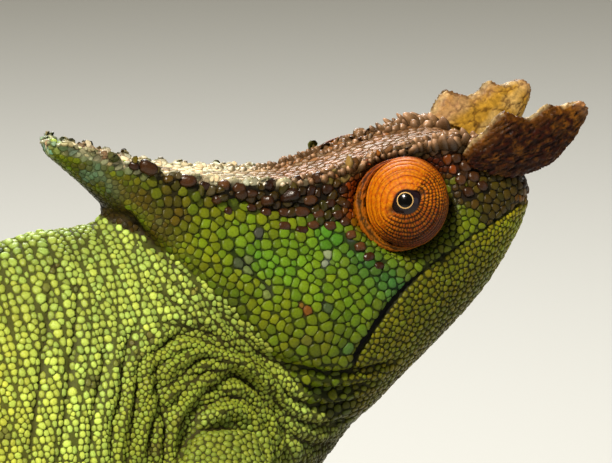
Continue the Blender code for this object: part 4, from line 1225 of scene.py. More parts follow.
def makeSpikes():
    # ragged tubercles along each brow, larger and more broken toward the horn
    draw = np.random.default_rng(33)
    s = spikeSet
    rows = []
    for sign in (-1, 1):
        for forward in np.arange(s["from"], s["to"], s["step"]):
            brow = smoothStep(-0.0165, -0.0090, forward)
            bold = smoothStep(0.0070, 0.0125, forward)
            for line in range(3):
                f = forward + draw.uniform(-0.0005, 0.0005)
                up, out = crestAt(f)
                jog = (0.0003, -0.0005, -0.0016)[line] + draw.uniform(-0.0003, 0.0003)
                aim = headPoint(draw.uniform(-0.25, 0.25), sign * (0.75 - 0.55 * line), 1.0) - eyeLine
                root = headPoint(f, sign * (out + jog), up - (0.0008, 0.0003, 0.0007)[line])
                tall = (0.00018 + 0.00062 * brow * draw.uniform(0.15, 1.0) * (1.0, 1.2, 0.5)[line]
                        + 0.0017 * bold * draw.uniform(0.0, 1.0) ** 1.3)
                wide = (0.00046 + 0.00026 * bold) * draw.uniform(0.7, 1.5)
                rows.append((root, aim.normalized(), tall, wide, float(brow)))
    roots, aims, heights, widths, brows = columns(rows)
    forwardWay = np.array(headPoint(1, 0, 0) - eyeLine)
    across = unit(forwardWay - aims * (aims @ forwardWay)[:, None])
    radii = widths[:, None] * draw.uniform(0.75, 1.25, (len(rows), 8))
    radii[:, [0, 4]] *= draw.uniform(1.0, 1.6, (len(rows), 1))
    tints = layered(palette["crown"] * 0.7, (palette["browTan"], 0.20 + 0.60 * brows),
                    (palette["brown"], 0.60 * brows * draw.uniform(0, 1, len(rows)) ** 1.5))
    tints = tints * draw.uniform(0.75, 1.2, (len(rows), 1))
    scalePiece("brow_spikes", roots, aims, across, np.cross(aims, across), radii, heights, tints,
               "peak", plateSkin, skinPlaces, sink=0.0008)


makeSpikes()

# the feet's places on the perch, for the claws
footPlan = {
    "hand_right": {"grip": -0.0085, "sign": -1, "toes": (3, 2)},
    "hand_left": {"grip": -0.0340, "sign": 1, "toes": (3, 2)},
    "foot_right": {"grip": -0.1590, "sign": -1, "toes": (2, 3)},
    "foot_left": {"grip": -0.1830, "sign": 1, "toes": (2, 3)},
}
toeSet = {"radius": 0.0030, "spacing": 0.0049, "inner": (30.0, -94.0), "outer": (70.0, 176.0),
          # each claw's three points: past the toe's tip, and out from the perch
          "claw": ((-0.0008, 0.0006), (0.0030, 0.0007), (0.0059, -0.0011))}
perchAlong = Vector((math.cos(bodyPlan["perchPitch"]), 0, math.sin(bodyPlan["perchPitch"])))
perchUp = Vector((-perchAlong.z, 0, perchAlong.x))


def perchAxis(x):
    x0, z0 = bodyPlan["perchThrough"]
    return eyeLine + Vector((x, 0, z0 + math.tan(bodyPlan["perchPitch"]) * (x - x0)))


def roundPerch(plan, angle, radius, shift):
    out = Vector((0, plan["sign"], 0))
    return (perchAxis(plan["grip"]) + (perchUp * math.cos(angle) + out * math.sin(angle)) * radius
            + perchAlong * shift)


def clawPaths():
    # three points for each claw, from inside the toe's end to its tip
    paths = {}
    for name, plan in footPlan.items():
        paths[name] = []
        for toes, bundle in zip(plan["toes"], ("inner", "outer")):
            start, end = (math.radians(a) for a in toeSet[bundle])
            for k in range(toes):
                place = k - (toes - 1) / 2
                first, last = start + 0.5 * (end - start), start + (1 - 0.09 * abs(place)) * (end - start)
                before, tip = (roundPerch(plan, first + (last - first) * share,
                                          bodyPlan["perchRadius"] + 0.0002
                                          + toeSet["radius"] * (1.04 - 0.24 * share),
                                          place * toeSet["spacing"] * (0.88 + 0.22 * share))
                               for share in (2 / 3, 1.0))
                heading = (tip - before).normalized()
                outward = tip - perchAxis(plan["grip"])
                outward = (outward - perchAlong * outward.dot(perchAlong)).normalized()
                paths[name].append([tip + heading * past + outward * out
                                    for past, out in toeSet["claw"]])
    return paths


claws = clawPaths()


def clawGap(points):
    # distance from the nearest claw's line
    best = np.full(len(points), 1.0)
    for paths in claws.values():
        for path in paths:
            for place in curveThrough(path, 0.0012)[2:]:
                best = np.minimum(best, np.linalg.norm(points - np.array(place), axis=1))
    return best


# how far a scale leans with the net's creases, how near one its root may stand in its own size,
# its corners before thinning, the bare ground round turrets, nostrils and claws, and where the
# neck's scales begin
coatSet = {"tilt": 0.30, "shore": 0.08, "corners": 10, "turret": 0.0078, "nostril": 0.0010,
           "claw": 0.0017, "front": 0.035}


def coverWithScales():
    # the whole coat, each scale turned, sized and coloured by the place of its root
    c = coatSet
    sizes = scaleSizes(skinPoints, skinPart, skinZones)
    head = (skinPart == "head").astype(float)
    variety = 0.07 + head * (0.36 - 0.24 * skinZones["jaw"] + 0.06 * skinZones["brown"])

    def rows(places, corners):
        part = skinPart[corners[:, 0]]
        zones = {key: skinZones[key][corners].mean(axis=1) for key in ("jaw", "gape", "wide", "forward")}
        return rowGaps(places, part, zones, sizes[corners[:, 0]])

    roots, normals, size, on, shares = scatter(skinPoints, skinNormals, skinCorners, sizes, variety, 7, rows)
    flat = (skinBefore[on] * shares).sum(axis=1)
    part = partOf(flat)
    zones = zonesAt(flat, part)
    netted = (part == "trunk") & (zones["shoulder"] < 0.5)
    _, dark, toFold = foldsAt(flat)
    walls = [*netWalls(flat, normals, netted), toFold, mouthAt(flat, part)[3]]
    shift, walls = stepBack(walls, normals, size)
    roots = roots + shift
    shore = np.min([np.linalg.norm(wall, axis=1) for wall in walls], axis=0) / size
    kept = (zones["onHead"] * (zones["gape"] < zones["wide"] + 0.00012) < 0.5) & (shore > c["shore"])
    roots, flat, normals, size, part, netted, shore, dark = (
        values[kept] for values in (roots, flat, normals, size, part, netted, shore, dark))
    zones = {key: values[kept] for key, values in zones.items()}
    walls = [wall[kept] for wall in walls]
    print("scale roots:", len(roots))
    slope = slopesOf(netLift, flat, 0.00020)[1][0] * netted[:, None]
    slope *= np.minimum(1, c["tilt"] / np.maximum(np.linalg.norm(slope, axis=1), 1e-6))[:, None]
    normals = unit(normals - slope + normals * (slope * normals).sum(axis=1)[:, None])
    lie = np.tile(np.array(headAxes[0]), (len(roots), 1))
    lie = lie + np.cross(normals, (0, 1, 0)) * 0.01
    stretch = 1 + (1.4 * zones["crown"] + 0.25 * zones["brown"]) * (1 - zones["edge"]) + 0.20 * zones["jaw"]
    radii, across, along = cellRadii(roots, normals, size, c["corners"], lie, stretch, walls)
    draw = np.random.default_rng(5)
    count = len(roots)
    # the folds' painted shade reaches the scales at six tenths of its strength
    tints = markings(flat, normals, part, zones, 0.6 * dark)
    tints = tints * (1 + (0.11 + 0.13 * zones["onHead"]) * draw.uniform(-1, 1, count))[:, None]
    # painted shade: scales close to the net's creases are darkened
    tints = tints * (1 - 0.25 * netted * smoothStep(0.60, 0.30, shore))[:, None]
    warm = draw.uniform(-1, 1, count)
    tints[:, 0] *= 1 + (0.08 + 0.08 * zones["onHead"]) * warm
    tints[:, 2] *= 1 - 0.12 * warm
    radii = np.maximum(radii - 0.00001 - 0.00002 * zones["onHead"][:, None], 0.0001)
    radii *= 1 + 0.06 * (part == "trunk")[:, None]
    radii *= 1 + (0.025 + 0.045 * zones["onHead"][:, None]) * draw.uniform(-1, 1, radii.shape)
    heights = size * (0.20 - 0.045 * zones["onHead"] + 0.07 * zones["jaw"] + 0.12 * zones["brown"]
                      - 0.03 * zones["crown"]) * (1 + 0.22 * draw.uniform(-1, 1, count))
    heights = np.where(zones["pit"] > 0.5, size * 0.10, heights)
    top = np.maximum(zones["edge"], zones["onHead"] * zones["tip"])
    heights = heights * (1 - 0.6 * top)
    nostrils = np.minimum(*(np.linalg.norm(roots - np.array(headPoint(
        bodyPlan["nostril"][0], sign * bodyPlan["nostril"][1], bodyPlan["nostril"][2])), axis=1)
        for sign in (-1, 1)))
    keep = (dark < 0.97) & (turretGap(roots) > c["turret"]) & (nostrils > c["nostril"])
    keep &= ~underPlate(roots) & ~((part == "foot") & (clawGap(roots) < c["claw"]))
    brown = (zones["brown"] > 0.5) & (zones["pit"] + zones["pitLow"] < 0.6)
    front, right = roots[:, 0] > c["front"], roots[:, 1] < 0
    head, trunk, beaded = part == "head", part == "trunk", zones["jaw"] > 0.5
    groups = {
        "scales_head_right": (head & right & ~brown & ~beaded, "plate"),
        "scales_head_left": (head & ~right & ~brown & ~beaded, "plate"),
        "scales_jaw": (head & beaded & ~brown, "bead"),
        "tubercles_head": (head & brown, "bold"),
        "scales_neck_right": (trunk & front & right, "bead"),
        "scales_neck_left": (trunk & front & ~right, "bead"),
        "scales_body_right": (trunk & ~front & right, "plain"),
        "scales_body_left": (trunk & ~front & ~right, "plain"),
        "scales_tail": (part == "tail", "plain"),
        "scales_arms": ((part == "limb") & (roots[:, 0] > 0), "plain"),
        "scales_legs": ((part == "limb") & (roots[:, 0] <= 0), "plain"),
        "scales_hands": ((part == "foot") & (roots[:, 0] > 0), "plain"),
        "scales_feet": ((part == "foot") & (roots[:, 0] <= 0), "plain"),
    }
    for name, (chosen, dome) in groups.items():
        k = np.flatnonzero(chosen & keep)
        shape = withSides(radii[k], cornersOf[dome])
        material, slot = (plateSkin, "casque_skin") if dome == "bold" else (scaleSkin, "scaly_skin")
        scalePiece(name, roots[k], normals[k], across[k], along[k], shape, heights[k], tints[k],
                   dome, material, skinPlaces)


coverWithScales()

ridgeSet = {"from": 0.0760, "to": -0.1560, "step": 0.00175}


def makeRidge():
    # the double row of rounded tubercles along the back and the root of the tail
    draw = np.random.default_rng(41)
    rows = []
    x = ridgeSet["from"]
    while x > ridgeSet["to"]:
        hit = skinTree.ray_cast(Vector((x, 0, 0.30)), Vector((0, 0, -1)))
        small = smoothStep(-0.060, -0.150, x)
        for y in (-0.0006, 0.0006):
            place = Vector((x + draw.uniform(-0.0004, 0.0004), y * (1 - 0.5 * small), hit[0].z))
            aim = (hit[1] + Vector((0, y * 250, 0))).normalized()
            rows.append((place, aim, draw.uniform(0.0008, 0.0013) * (1 - 0.5 * small),
                         draw.uniform(0.00080, 0.00105) * (1 - 0.35 * small)))
        x -= ridgeSet["step"] * (1 - 0.3 * small)
    roots, aims, heights, widths = columns(rows)
    across = unit(np.array((1.0, 0, 0)) - aims * aims[:, :1])
    ahead = smoothStep(0.026, 0.050, roots[:, 0])
    heights, widths = heights * (1 - 0.55 * ahead), widths * (1 - 0.25 * ahead)
    radii = np.repeat(widths[:, None], 10, axis=1)
    tints = layered(palette["sheen"], (palette["back"], draw.uniform(0.1, 0.7, len(rows))),
                    (palette["neck"] * 0.8, 0.85 * ahead))
    scalePiece("ridge_tubercles", roots, aims, across, np.cross(aims, across), radii, heights,
               tints * draw.uniform(0.8, 1.15, (len(rows), 1)), "bold", scaleSkin,
               skinPlaces, sink=0.0005)


makeRidge()


# the horns: blades of wrinkled skin in low merged plates, larger and paler on their inner faces

hornSet = {"voxel": 0.00022, "rounds": 8, "hold": 0.0004, "outer": 0.00135, "inner": 0.0026,
           "groove": 0.00011, "grooveWide": 0.00026, "softWide": 0.00075, "swell": 0.00013,
           "warp": 0.00060, "crinkle": 0.00020, "inset": 0.00022,
           "tones": tones(outer="#300F04", ochre="#8E5A16", inner="#B0852C", vein="#4E2A0C",
                          edge="#D8BE88", tip="#A87E5C", dark="#1C0A04")}


def squashed(points, share=0.5):
    # the horn's own length drawn together, so that what is even there runs along it
    way = np.array(headAxes[0] - headAxes[1] * 0.18).reshape(3)
    way = way / np.linalg.norm(way)
    return points - np.outer(points @ way, way) * share


def hornCells(points, seeds, sizes):
    # distance past the groove between two merged plates, share of the way out from the nearest
    # plate's middle, and which plate that is
    warp = np.stack([cloud(points, 0.0021, seed) + 0.5 * cloud(points, 0.0009, seed + 3)
                     for seed in (91, 92, 93)], axis=1) * hornSet["warp"] * 0.6
    tree = pointTree(squashed(seeds))
    found = [tree.find_n(p, 2) for p in (squashed(points) + warp).tolist()]
    first, second = (np.array([f[k][2] for f in found]) for k in (0, 1))
    nearest = np.array([f[0][1] for f in found])
    return second - first, first / sizes[nearest], nearest


def makeHorn(side, sign):
    # the solid's own blade, crinkled and coloured; a dark outer face and a pale inner one, with painted
    # shade in its grooves and troughs and painted light on its upward faces
    s, t = hornSet, hornSet["tones"]
    mesh = oneSurface(["horn_" + side], s["voxel"])
    points, normals, corners = relax(mesh, s["rounds"], lambda p: np.full(len(p), s["hold"]))
    inward = smoothStep(0.0, 0.7, -sign * normals[:, 1])
    sizes = s["outer"] + (s["inner"] - s["outer"]) * inward
    seeds, _, seedSize, *_ = scatter(points, normals, corners, sizes, np.full(len(points), 0.4), 64)
    edge, middle, nearest = hornCells(points, seeds, seedSize)
    groove, soft = (np.exp(-(edge / s[key]) ** 2) for key in ("grooveWide", "softWide"))
    draw = np.random.default_rng(65)
    lift = draw.uniform(0.3, 1.6, len(seeds))[nearest]
    crinkle = 1 - np.abs(cloud(squashed(points, 0.7), 0.0011, 66)) * 1.6
    crinkle += 0.5 - np.abs(cloud(squashed(points, 0.4), 0.00055, 67))
    depth = (s["swell"] * lift * (1 - middle ** 2).clip(0, 1) * (1 - 0.45 * inward) - s["groove"] * groove
             + s["crinkle"] * crinkle * (1 - 0.8 * inward) - s["inset"])
    upness = normals[:, 2] * cosHead - normals[:, 0] * sinHead
    points, normals, corners = writePoints(mesh, points + normals * depth[:, None])
    forward, up = toHead(points)
    patches, small = cloud(points, 0.0050, 61), cloud(points, 0.0016, 62)
    shade = draw.uniform(0.72, 1.25, len(seeds))[nearest]
    ahead = smoothStep(0.0270, 0.0340, forward)
    # painted shade: on the outer face the crinkles' troughs and the grooves between plates darken, on the
    # inner face the grooves do
    outer = layered(
        t["outer"], (t["ochre"], 0.40 * smoothStep(0.2, 1.0, patches)),
        (t["ochre"], 0.35 * soft * smoothStep(-0.2, 0.8, small)),
        (t["dark"], 0.80 * smoothStep(0.75, -0.25, crinkle)), (t["dark"], 0.45 * groove),
        (t["ochre"], 0.45 * ahead * smoothStep(-0.5, 0.5, small)))
    inner = layered(
        t["inner"], (t["edge"], 0.35 * smoothStep(0.0, 0.9, patches)), (t["vein"], 0.75 * groove),
        (t["tip"], 0.6 * smoothStep(0.0, 0.0022, up + 0.0035 + 0.12 * (forward - 0.0175))))
    colour = mixed(outer * shade[:, None], inner * shade[:, None] ** 0.4, inward)
    # painted highlight: upward-facing rims of the lobes are lit in the pale edge colour, and the outer
    # face's upward slopes are warmed toward ochre as painted light
    lit = smoothStep(0.62, 0.95, upness) * (1 - 0.6 * groove)
    colour = layered(
        colour, (t["edge"], 0.65 * lit * (0.5 + 0.5 * smoothStep(-0.4, 0.6, small))),
        (t["ochre"], 0.22 * smoothStep(0.1, 0.45, upness) * (1 - lit) * (1 - inward)),
        (t["tip"], 0.55 * smoothStep(0.0325, 0.0350, forward)))
    paint(mesh, colour * (1 + 0.10 * small)[:, None])
    mesh.shade_smooth()
    horn = newPiece("nasal_horn_" + side, mesh, hornSkin)
    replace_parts(horn, "horn_" + side)
    print("horn, " + side + ":", len(corners), "triangles")


makeHorn("right", -1)
makeHorn("left", 1)


# the eye turrets: a ball of lid in ring folds, with a fold of skin round its foot

lidSet = {
    "ball": 0.00665, "lift": 0.00085, "tall": 1.045, "narrow": 0.965, "around": 440, "across": 118,
    "opening": (0.00200, 0.00178), "wedge": 0.00065, "slant": math.radians(29), "rings": (8.0, 12.0),
    "ridge": 0.00016, "bead": 0.00047, "beadRise": 0.00019,
    "foldInner": 0.00640, "foldTube": (0.00022, 0.00090), "foldSide": math.radians(196), "foldRise": 0.0008,
    "foldAround": 250, "foldAcross": 36,
    # each crease: share of the way to the foot, depth, where it is deepest, how far it strays
    "creases": ((0.93, 0.00040, math.radians(150), 0.012), (0.74, 0.00028, math.radians(185), 0.030),
                (0.62, 0.00016, math.radians(160), 0.025), (0.80, 0.00030, math.radians(262), 0.030),
                (0.47, 0.00018, math.radians(300), 0.035), (0.33, 0.00010, math.radians(120), 0.02)),
    "tones": tones(bright="#C67406", amber="#B65804", deep="#582608", groove="#180802", red="#802604",
                   fold="#7A4A08", foldHigh="#6E2E06", rim="#0C0604", corner="#2A180A"),
}
eyeSet = {"radius": 0.0027, "out": 0.00530, "ring": 0.00116, "ringWidth": 0.00013, "whiteFrom": 0.0018,
          "around": 64, "tilt": (-0.10, 0.09),
          "tones": tones(pupil="#020202", ring="#C9A468", iris="#1A0E16", white="#1E1016")}


def turretFrame(side):
    # a turret's centre, its gaze, and the level and upright ways across the gaze
    sign = -1 if side == "right" else 1
    forward, out, up = bodyPlan["turretCentre"]
    gaze = Vector(bodyPlan["gaze"][side]).normalized()
    level = viewRight.copy()
    if side == "left":
        level.y = -level.y
    level = (level - gaze * level.dot(gaze)).normalized()
    tall = gaze.cross(level)
    if tall.z < 0:
        tall = -tall
    return headPoint(forward, sign * out, up), gaze, level, tall


def ringWaves(theta, s):
    # ring ridges of the ball of lid: broad and smooth above and behind the opening, finer and
    # broken into granules before and below it; gives height, light and tone
    p = lidSet
    spots = np.stack([np.cos(theta) * (0.3 + s), np.sin(theta) * (0.3 + s), s * 0], axis=-1).reshape(-1, 3)
    wander = (cloud(spots, 0.60, 73) + 0.4 * cloud(spots, 0.27, 74)).reshape(s.shape)
    beaded = smoothStep(0.60, -0.25, np.cos(theta - math.radians(135)) + 0.15 * wander)
    grain = cloud(spots, 0.055, 79).reshape(s.shape)
    broad = 0.10 + 0.90 * np.abs(np.sin(np.pi * (s * p["rings"][0] + 0.12 * wander + 0.05 * grain))) ** 0.50
    broad *= 1 - 0.16 * smoothStep(0.1, 0.9, np.abs(grain))
    phase = s * p["rings"][1] + 0.10 * wander
    ring = np.floor(phase)
    swing = 0.28 + 1.45 * (ring + 0.5) / p["rings"][1]
    count = np.round(math.pi * p["ball"] * np.sin(np.clip(swing, 0.2, 1.57)) / p["bead"])
    turn = count * theta + ring * 2.4 + 0.9 * cloud(spots, 0.09, 75).reshape(s.shape)
    bead = np.abs(np.sin(turn)) ** 0.85
    ridge = np.abs(np.sin(np.pi * phase)) ** 0.85
    pick = np.sin(ring * 127.1 + np.floor(turn / np.pi) * 311.7) * 43758.5453
    pick = pick - np.floor(pick)
    height = (p["ridge"] * (1 - beaded) * (broad - 0.6)
              + p["beadRise"] * beaded * (ridge * (0.35 + 0.65 * bead) - 0.5))
    light = ((1 - beaded) * broad * (0.94 + 0.06 * ridge)
             + beaded * ridge * (0.20 + 0.80 * bead) * (0.70 + 0.45 * pick))
    return height, light, cloud(spots * 1.7, 0.16, 76).reshape(s.shape) + 0.8 * beaded * (pick - 0.5), beaded


def creasesAt(theta, s):
    # how deep the lid's creases are at each place, and how strongly painted shade darkens them
    depth, dark = np.zeros_like(s), np.zeros_like(s)
    for at, deep, turn, stray in lidSet["creases"]:
        bent = at + stray * (np.sin(2 * theta + turn) + 0.5 * np.sin(5 * theta + 3 * turn))
        facing = np.cos(theta - turn)
        held = smoothStep(-0.45, 0.75, facing) if at < 0.9 else 0.65 + 0.35 * facing
        line = held * np.exp(-((s - bent) / 0.013) ** 2)
        depth += deep * (line - 0.35 * held * np.exp(-((s - bent - 0.035) / 0.02) ** 2))
        dark = np.maximum(dark, line * min(1.0, deep / 0.00025))
    return depth, dark


def lidPoint(place, theta, s, lift):
    # a point of the ball of lid: theta round the gaze, s from the opening (0) to the foot (1)
    centre, gaze, level, tall = (np.array(v) for v in place)
    p = lidSet
    wide, high = p["opening"]
    oval = (np.abs(np.cos(theta) / wide) ** 2 + np.abs(np.sin(theta) / high) ** 2) ** -0.5
    opening = oval + p["wedge"] * np.abs(np.cos(theta - p["slant"])) ** 12
    first = np.arcsin(opening / p["ball"])
    swing = first + (math.radians(100) - first) * s
    reach = p["ball"] + lift
    flat = (level * (np.cos(theta) * p["narrow"])[..., None] + tall * (np.sin(theta) * p["tall"])[..., None])
    return (centre + gaze * (p["lift"] + reach * np.cos(swing))[..., None]
            + flat * (reach * np.sin(swing))[..., None])


def gridMesh(name, rows):
    # closed rings of points joined by quads, given as (ring, point, axis)
    mesh = bpy.data.meshes.new(name)
    mesh.from_pydata(rows.reshape(-1, 3).tolist(), [], ringQuads(*rows.shape[:2]).tolist())
    bm = editing(mesh)
    bmesh.ops.remove_doubles(bm, verts=bm.verts, dist=1e-7)
    bmesh.ops.recalc_face_normals(bm, faces=bm.faces)
    written(bm, mesh).shade_smooth()
    return mesh


def makeTurret(side):
    # the ball of lid with its opening, then the fold of skin round its foot; both are coloured with painted
    # light and shade
    place = turretFrame(side)
    centre, gaze, level, tall = place
    p, t = lidSet, lidSet["tones"]
    theta = np.linspace(0, 2 * math.pi, p["around"], endpoint=False)
    share = np.linspace(0, 1, p["across"])
    theta, s = np.meshgrid(theta, share)
    height, light, tone, beaded = ringWaves(theta, s)
    depth, dark = creasesAt(theta, s)
    wedge = np.abs(np.cos(theta - p["slant"])) ** 30 * smoothStep(0.16, 0.02, s)
    fade = smoothStep(0.0, 0.05, s)
    rows = lidPoint(place, theta, s, height * fade - depth - 0.00035 * wedge)
    lips = [rows[0] * 0.90 + 0.10 * rows[0].mean(axis=0) - np.array(gaze) * 0.0012,
            rows[0] * 0.97 + 0.03 * rows[0].mean(axis=0) - np.array(gaze) * 0.00025]
    # painted shade: the ball's lower side is darker, and so is its foot, there partly in the lid's own
    # red-brown
    low = smoothStep(-0.15, -0.95, np.cos(theta - math.radians(112)))
    low = low * (0.60 + 0.50 * smoothStep(0.2, 0.8, s)) + 0.40 * smoothStep(0.70, 0.97, s)
    # painted shade in the grooves between ridges and granules, where their painted light is low, and in the
    # creases
    gaps = mixed(t["red"], t["groove"], (0.25 + 0.75 * beaded).ravel())
    colour = layered(
        t["bright"], (t["amber"], smoothStep(-0.7, 0.9, tone)), (t["deep"], low.clip(0, 0.97)),
        (t["red"], 0.25 * beaded * smoothStep(-0.2, 0.8, tone)),
        (gaps, 0.92 * smoothStep(0.74, 0.16, light)), (t["groove"] * 0.45, 0.95 * dark),
        (t["corner"], 0.9 * np.maximum(wedge, smoothStep(0.03, 0.0, s))))
    mesh = gridMesh("lid_" + side, np.stack([*lips, *rows]))
    rims = np.tile(t["rim"], (2 * p["around"], 1))
    paint(mesh, np.concatenate([rims, colour]))
    lid = newPiece("lid_" + side, mesh, lidSkin)
    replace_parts(lid, "eye_turret_" + side)

    sign = -1 if side == "right" else 1
    axis = (gaze * 0.72 + Vector((0, sign, 0)) * 0.28).normalized()
    flatLevel = np.array((level - axis * level.dot(axis)).normalized())
    flatTall = np.array((tall - axis * tall.dot(axis)).normalized())
    middle = np.array(centre + axis * p["foldRise"])
    theta, psi = np.meshgrid(np.linspace(0, 2 * math.pi, p["foldAround"], endpoint=False),
                             np.linspace(-0.6, math.pi + 0.6, p["foldAcross"]))
    small, wide = p["foldTube"]
    tube = small + wide * np.maximum(0, np.cos(theta - p["foldSide"])) ** 1.3
    spots = np.stack([np.cos(theta), np.sin(theta), psi * 0.12], axis=-1).reshape(-1, 3)
    rough = cloud(spots, 0.10, 77).reshape(theta.shape)
    wrinkle = np.sin(psi * 5.5 + 1.6 * rough + 2 * np.sin(theta * 2))
    thick = tube * (1 + 0.11 * wrinkle + 0.07 * np.sin(theta * 95 + 2 * rough + 3 * np.round(psi * 2.2)))
    reach = p["foldInner"] + tube - thick * np.cos(psi)
    rows = (middle + flatLevel * (np.cos(theta) * p["narrow"] * reach)[..., None]
            + flatTall * (np.sin(theta) * p["tall"] * reach)[..., None]
            + np.array(axis) * (thick * 1.1 * np.sin(psi))[..., None])
    mesh = gridMesh("lid_fold_" + side, rows)
    # painted shade in the wrinkles' troughs and painted light on their crests
    paint(mesh, layered(
        t["fold"], (t["foldHigh"], smoothStep(-0.2, 0.7, np.sin(theta))),
        (t["amber"], 0.35 * smoothStep(-0.3, 0.8, wrinkle)),
        (t["groove"], 0.80 * smoothStep(-0.1, -1.0, wrinkle))))
    newPiece("lid_fold_" + side, mesh, lidSkin)
    print("lid, " + side + ":", s.size * 2, "triangles")


def makeEye(side):
    # a ball with the pale ring round its pupil, turned a little from the lid's own axis
    centre, gaze, level, tall = (np.array(v) for v in turretFrame(side))
    e = eyeSet
    middle = centre + gaze * e["out"]
    gaze = gaze + level * e["tilt"][0] + tall * e["tilt"][1]
    gaze = gaze / np.linalg.norm(gaze)
    level = unit(level - gaze * (level @ gaze))
    tall = np.cross(gaze, level) * np.sign(np.cross(gaze, level)[2])
    inner, outer = e["ring"], e["ring"] + e["ringWidth"]
    reach = np.array([1e-7, 0.0004, 0.0009, inner - 0.00002, inner, outer, outer + 0.00002,
                      0.0019, 0.0023, 0.0026])
    swings = np.concatenate([np.arcsin(np.clip(reach / e["radius"], 0, 1)), [1.9, 2.4, math.pi - 0.001]])
    theta = np.linspace(0, 2 * math.pi, e["around"], endpoint=False)
    rows = np.stack([middle + gaze * e["radius"] * math.cos(w)
                     + (level * np.cos(theta)[:, None] + tall * np.sin(theta)[:, None])
                     * e["radius"] * math.sin(w) for w in swings])
    mesh = gridMesh("eyeball_" + side, rows)
    points = readMesh(mesh)[0]
    ways = points - middle
    rho = np.linalg.norm(ways - np.outer(ways @ gaze, gaze), axis=1)
    ahead = ways @ gaze > 0
    t = e["tones"]
    colour = np.where((rho < inner - 0.00001)[:, None], t["pupil"], t["iris"])
    ring = (rho > inner - 0.00001) & (rho < outer + 0.00001) & ahead
    colour = np.where(ring[:, None], t["ring"], colour)
    colour = np.where((rho > e["whiteFrom"])[:, None], t["white"], colour)
    paint(mesh, colour)
    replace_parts(newPiece("eyeball_" + side, mesh, eyeGloss), "eye_" + side)


for eyeSide in ("right", "left"):
    makeTurret(eyeSide)
    makeEye(eyeSide)
print("eyes made")


# claws

clawSet = {"radii": (0.0017, 0.0013, 0.00025), "sides": 12,
           "tones": tones(root="#6E6A4C", shaft="#4A4234", tip="#B9AC8E")}


def makeClaws():
    # tapered tubes along each claw's path, closed at both ends
    t, sides = clawSet["tones"], clawSet["sides"]
    for name, paths in claws.items():
        bm = bmesh.new()
        shares = []
        for path in paths:
            line = curveThrough(path, 0.0004)
            around = (line[1] - line[0]).orthogonal().normalized()
            rings = []
            for k, point in enumerate(line):
                share = k / (len(line) - 1)
                way = (line[min(k + 1, len(line) - 1)] - line[max(k - 1, 0)]).normalized()
                around = (around - way * around.dot(way)).normalized()
                other = way.cross(around)
                thick = float(np.interp(share, [0, 0.5, 1], clawSet["radii"]))
                rings.append([bm.verts.new(point + (around * math.cos(a) + other * math.sin(a)) * thick)
                              for a in (2 * math.pi * j / sides for j in range(sides))])
                shares += [share] * sides
            for first, second in zip(rings, rings[1:]):
                for j in range(sides):
                    after = (j + 1) % sides
                    bm.faces.new((first[j], first[after], second[after], second[j]))
            bm.faces.new(rings[0][::-1])
            bm.faces.new(rings[-1])
        mesh = meshFrom(bm, "claws_" + name)
        shares = np.array(shares)
        paint(mesh, layered(t["root"], (t["shaft"], smoothStep(0.1, 0.45, shares)),
                            (t["tip"], 0.7 * smoothStep(0.6, 1.0, shares))))
        newPiece("claws_" + name, mesh, clawHorn)


makeClaws()


# the branch

perchSet = {"voxel": 0.0011, "rounds": 3, "ends": (-0.203, 0.026), "endDepth": 0.0015,
            "furrow": 0.00050, "rough": 0.00012, "knot": 0.00035, "inset": 0.0003,
            "ringStep": 0.0012,
            "tones": tones(bark="#6A5846", ridge="#8E7D66", furrow="#3A2E24", lichen="#97A089",
                           wood="#C9A876", ring="#A9834F")}


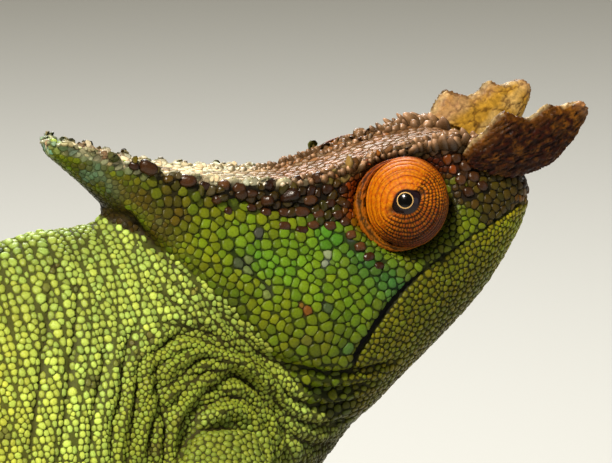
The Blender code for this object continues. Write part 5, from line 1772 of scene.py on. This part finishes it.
def makePerch():
    # bark furrowed along the branch, and growth rings on its cut ends
    p, t = perchSet, perchSet["tones"]
    mesh = oneSurface(["perch"], p["voxel"])
    points, normals, corners = relax(mesh, p["rounds"])
    origin = np.array(perchAxis(p["ends"][0]))
    along, up = np.array(perchAlong), np.array(perchUp)
    ways = points - origin
    far = ways @ along
    rho = np.hypot(ways @ up, ways[:, 1])
    length = (p["ends"][1] - p["ends"][0]) / math.cos(bodyPlan["perchPitch"])
    cut = (np.abs(normals @ along) > 0.8) & ((far < p["endDepth"]) | (far > length - p["endDepth"]))
    drawn = points - np.outer(far, along) * 0.80
    crack = np.abs(cloud(drawn, 0.0040, 81))
    furrow = smoothStep(0.30, 0.02, crack) * ~cut
    rough = cloud(points, 0.0016, 82)
    knots = cloud(points, 0.018, 83)
    depth = -p["furrow"] * furrow + p["rough"] * rough * ~cut + p["knot"] * knots * ~cut - p["inset"]
    points, normals, corners = writePoints(mesh, points + normals * depth[:, None])
    colour = layered(
        t["bark"], (t["ridge"], smoothStep(0.35, 1.0, crack) * 0.8), (t["furrow"], furrow),
        (t["lichen"], 0.6 * smoothStep(0.55, 1.0, knots) * (1 - furrow)))
    colour = colour * (1 + 0.12 * rough)[:, None]
    rings = 0.5 + 0.5 * np.sin(rho * 2 * math.pi / p["ringStep"] + 0.5 * knots)
    wood = mixed(t["wood"], t["ring"], rings)
    paint(mesh, mixed(colour, wood, cut.astype(float)))
    mesh.shade_smooth()
    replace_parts(newPiece("branch", mesh, barkSkin), "perch")
    print("branch:", len(corners), "triangles")


makePerch()


# the stand

standSet = {"base": (0.216, 0.124, 0.012), "bevel": 0.0018, "rods": (-0.068, -0.124),
            "rodRadius": 0.0035, "collar": (0.0062, 0.0026), "rim": 0.0004, "around": 48,
            "tones": tones(oak="#A87B4A", steel="#9A9B9E")}


def makeStand():
    # the bevelled plinth, and two rods with a collar at each foot
    s = standSet
    bm = bmesh.new()
    bmesh.ops.create_cube(bm, size=1.0, matrix=Matrix.Translation((0, 0, s["base"][2] / 2))
                          @ Matrix.Diagonal((*s["base"], 1)))
    bmesh.ops.bevel(bm, geom=bm.edges[:], offset=s["bevel"], segments=4, profile=0.5,
                    affect="EDGES", material=-1)
    mesh = meshFrom(bm, "plinth")
    mesh.set_sharp_from_angle(angle=math.radians(40))
    paint(mesh, s["tones"]["oak"])
    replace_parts(newPiece("plinth", mesh, oakGrain), "stand_base")
    bottom = s["base"][2]
    collar, collarTall = s["collar"]
    for name, x in zip(("front", "rear"), s["rods"]):
        top = perchAxis(x)
        high = top.z - bodyPlan["perchRadius"] / math.cos(bodyPlan["perchPitch"]) + 0.0005
        bm = bmesh.new()
        for radius, tall in ((s["rodRadius"], high - bottom), (collar, collarTall)):
            made = bmesh.ops.create_cone(bm, cap_ends=True, segments=s["around"], radius1=radius,
                                         radius2=radius, depth=tall,
                                         matrix=Matrix.Translation((top.x, 0, bottom + tall / 2)))
            rims = {e for v in made["verts"] for e in v.link_edges
                    if abs(e.verts[0].co.z - e.verts[1].co.z) < 1e-6}
            bmesh.ops.bevel(bm, geom=list(rims), offset=s["rim"], segments=3, profile=0.5,
                            affect="EDGES", material=-1)
        mesh = meshFrom(bm, "rod_" + name)
        mesh.set_sharp_from_angle(angle=math.radians(40))
        paint(mesh, s["tones"]["steel"])
        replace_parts(newPiece("rod_" + name, mesh, brushedSteel), "stand_rod_" + name)


makeStand()
print("stand made")
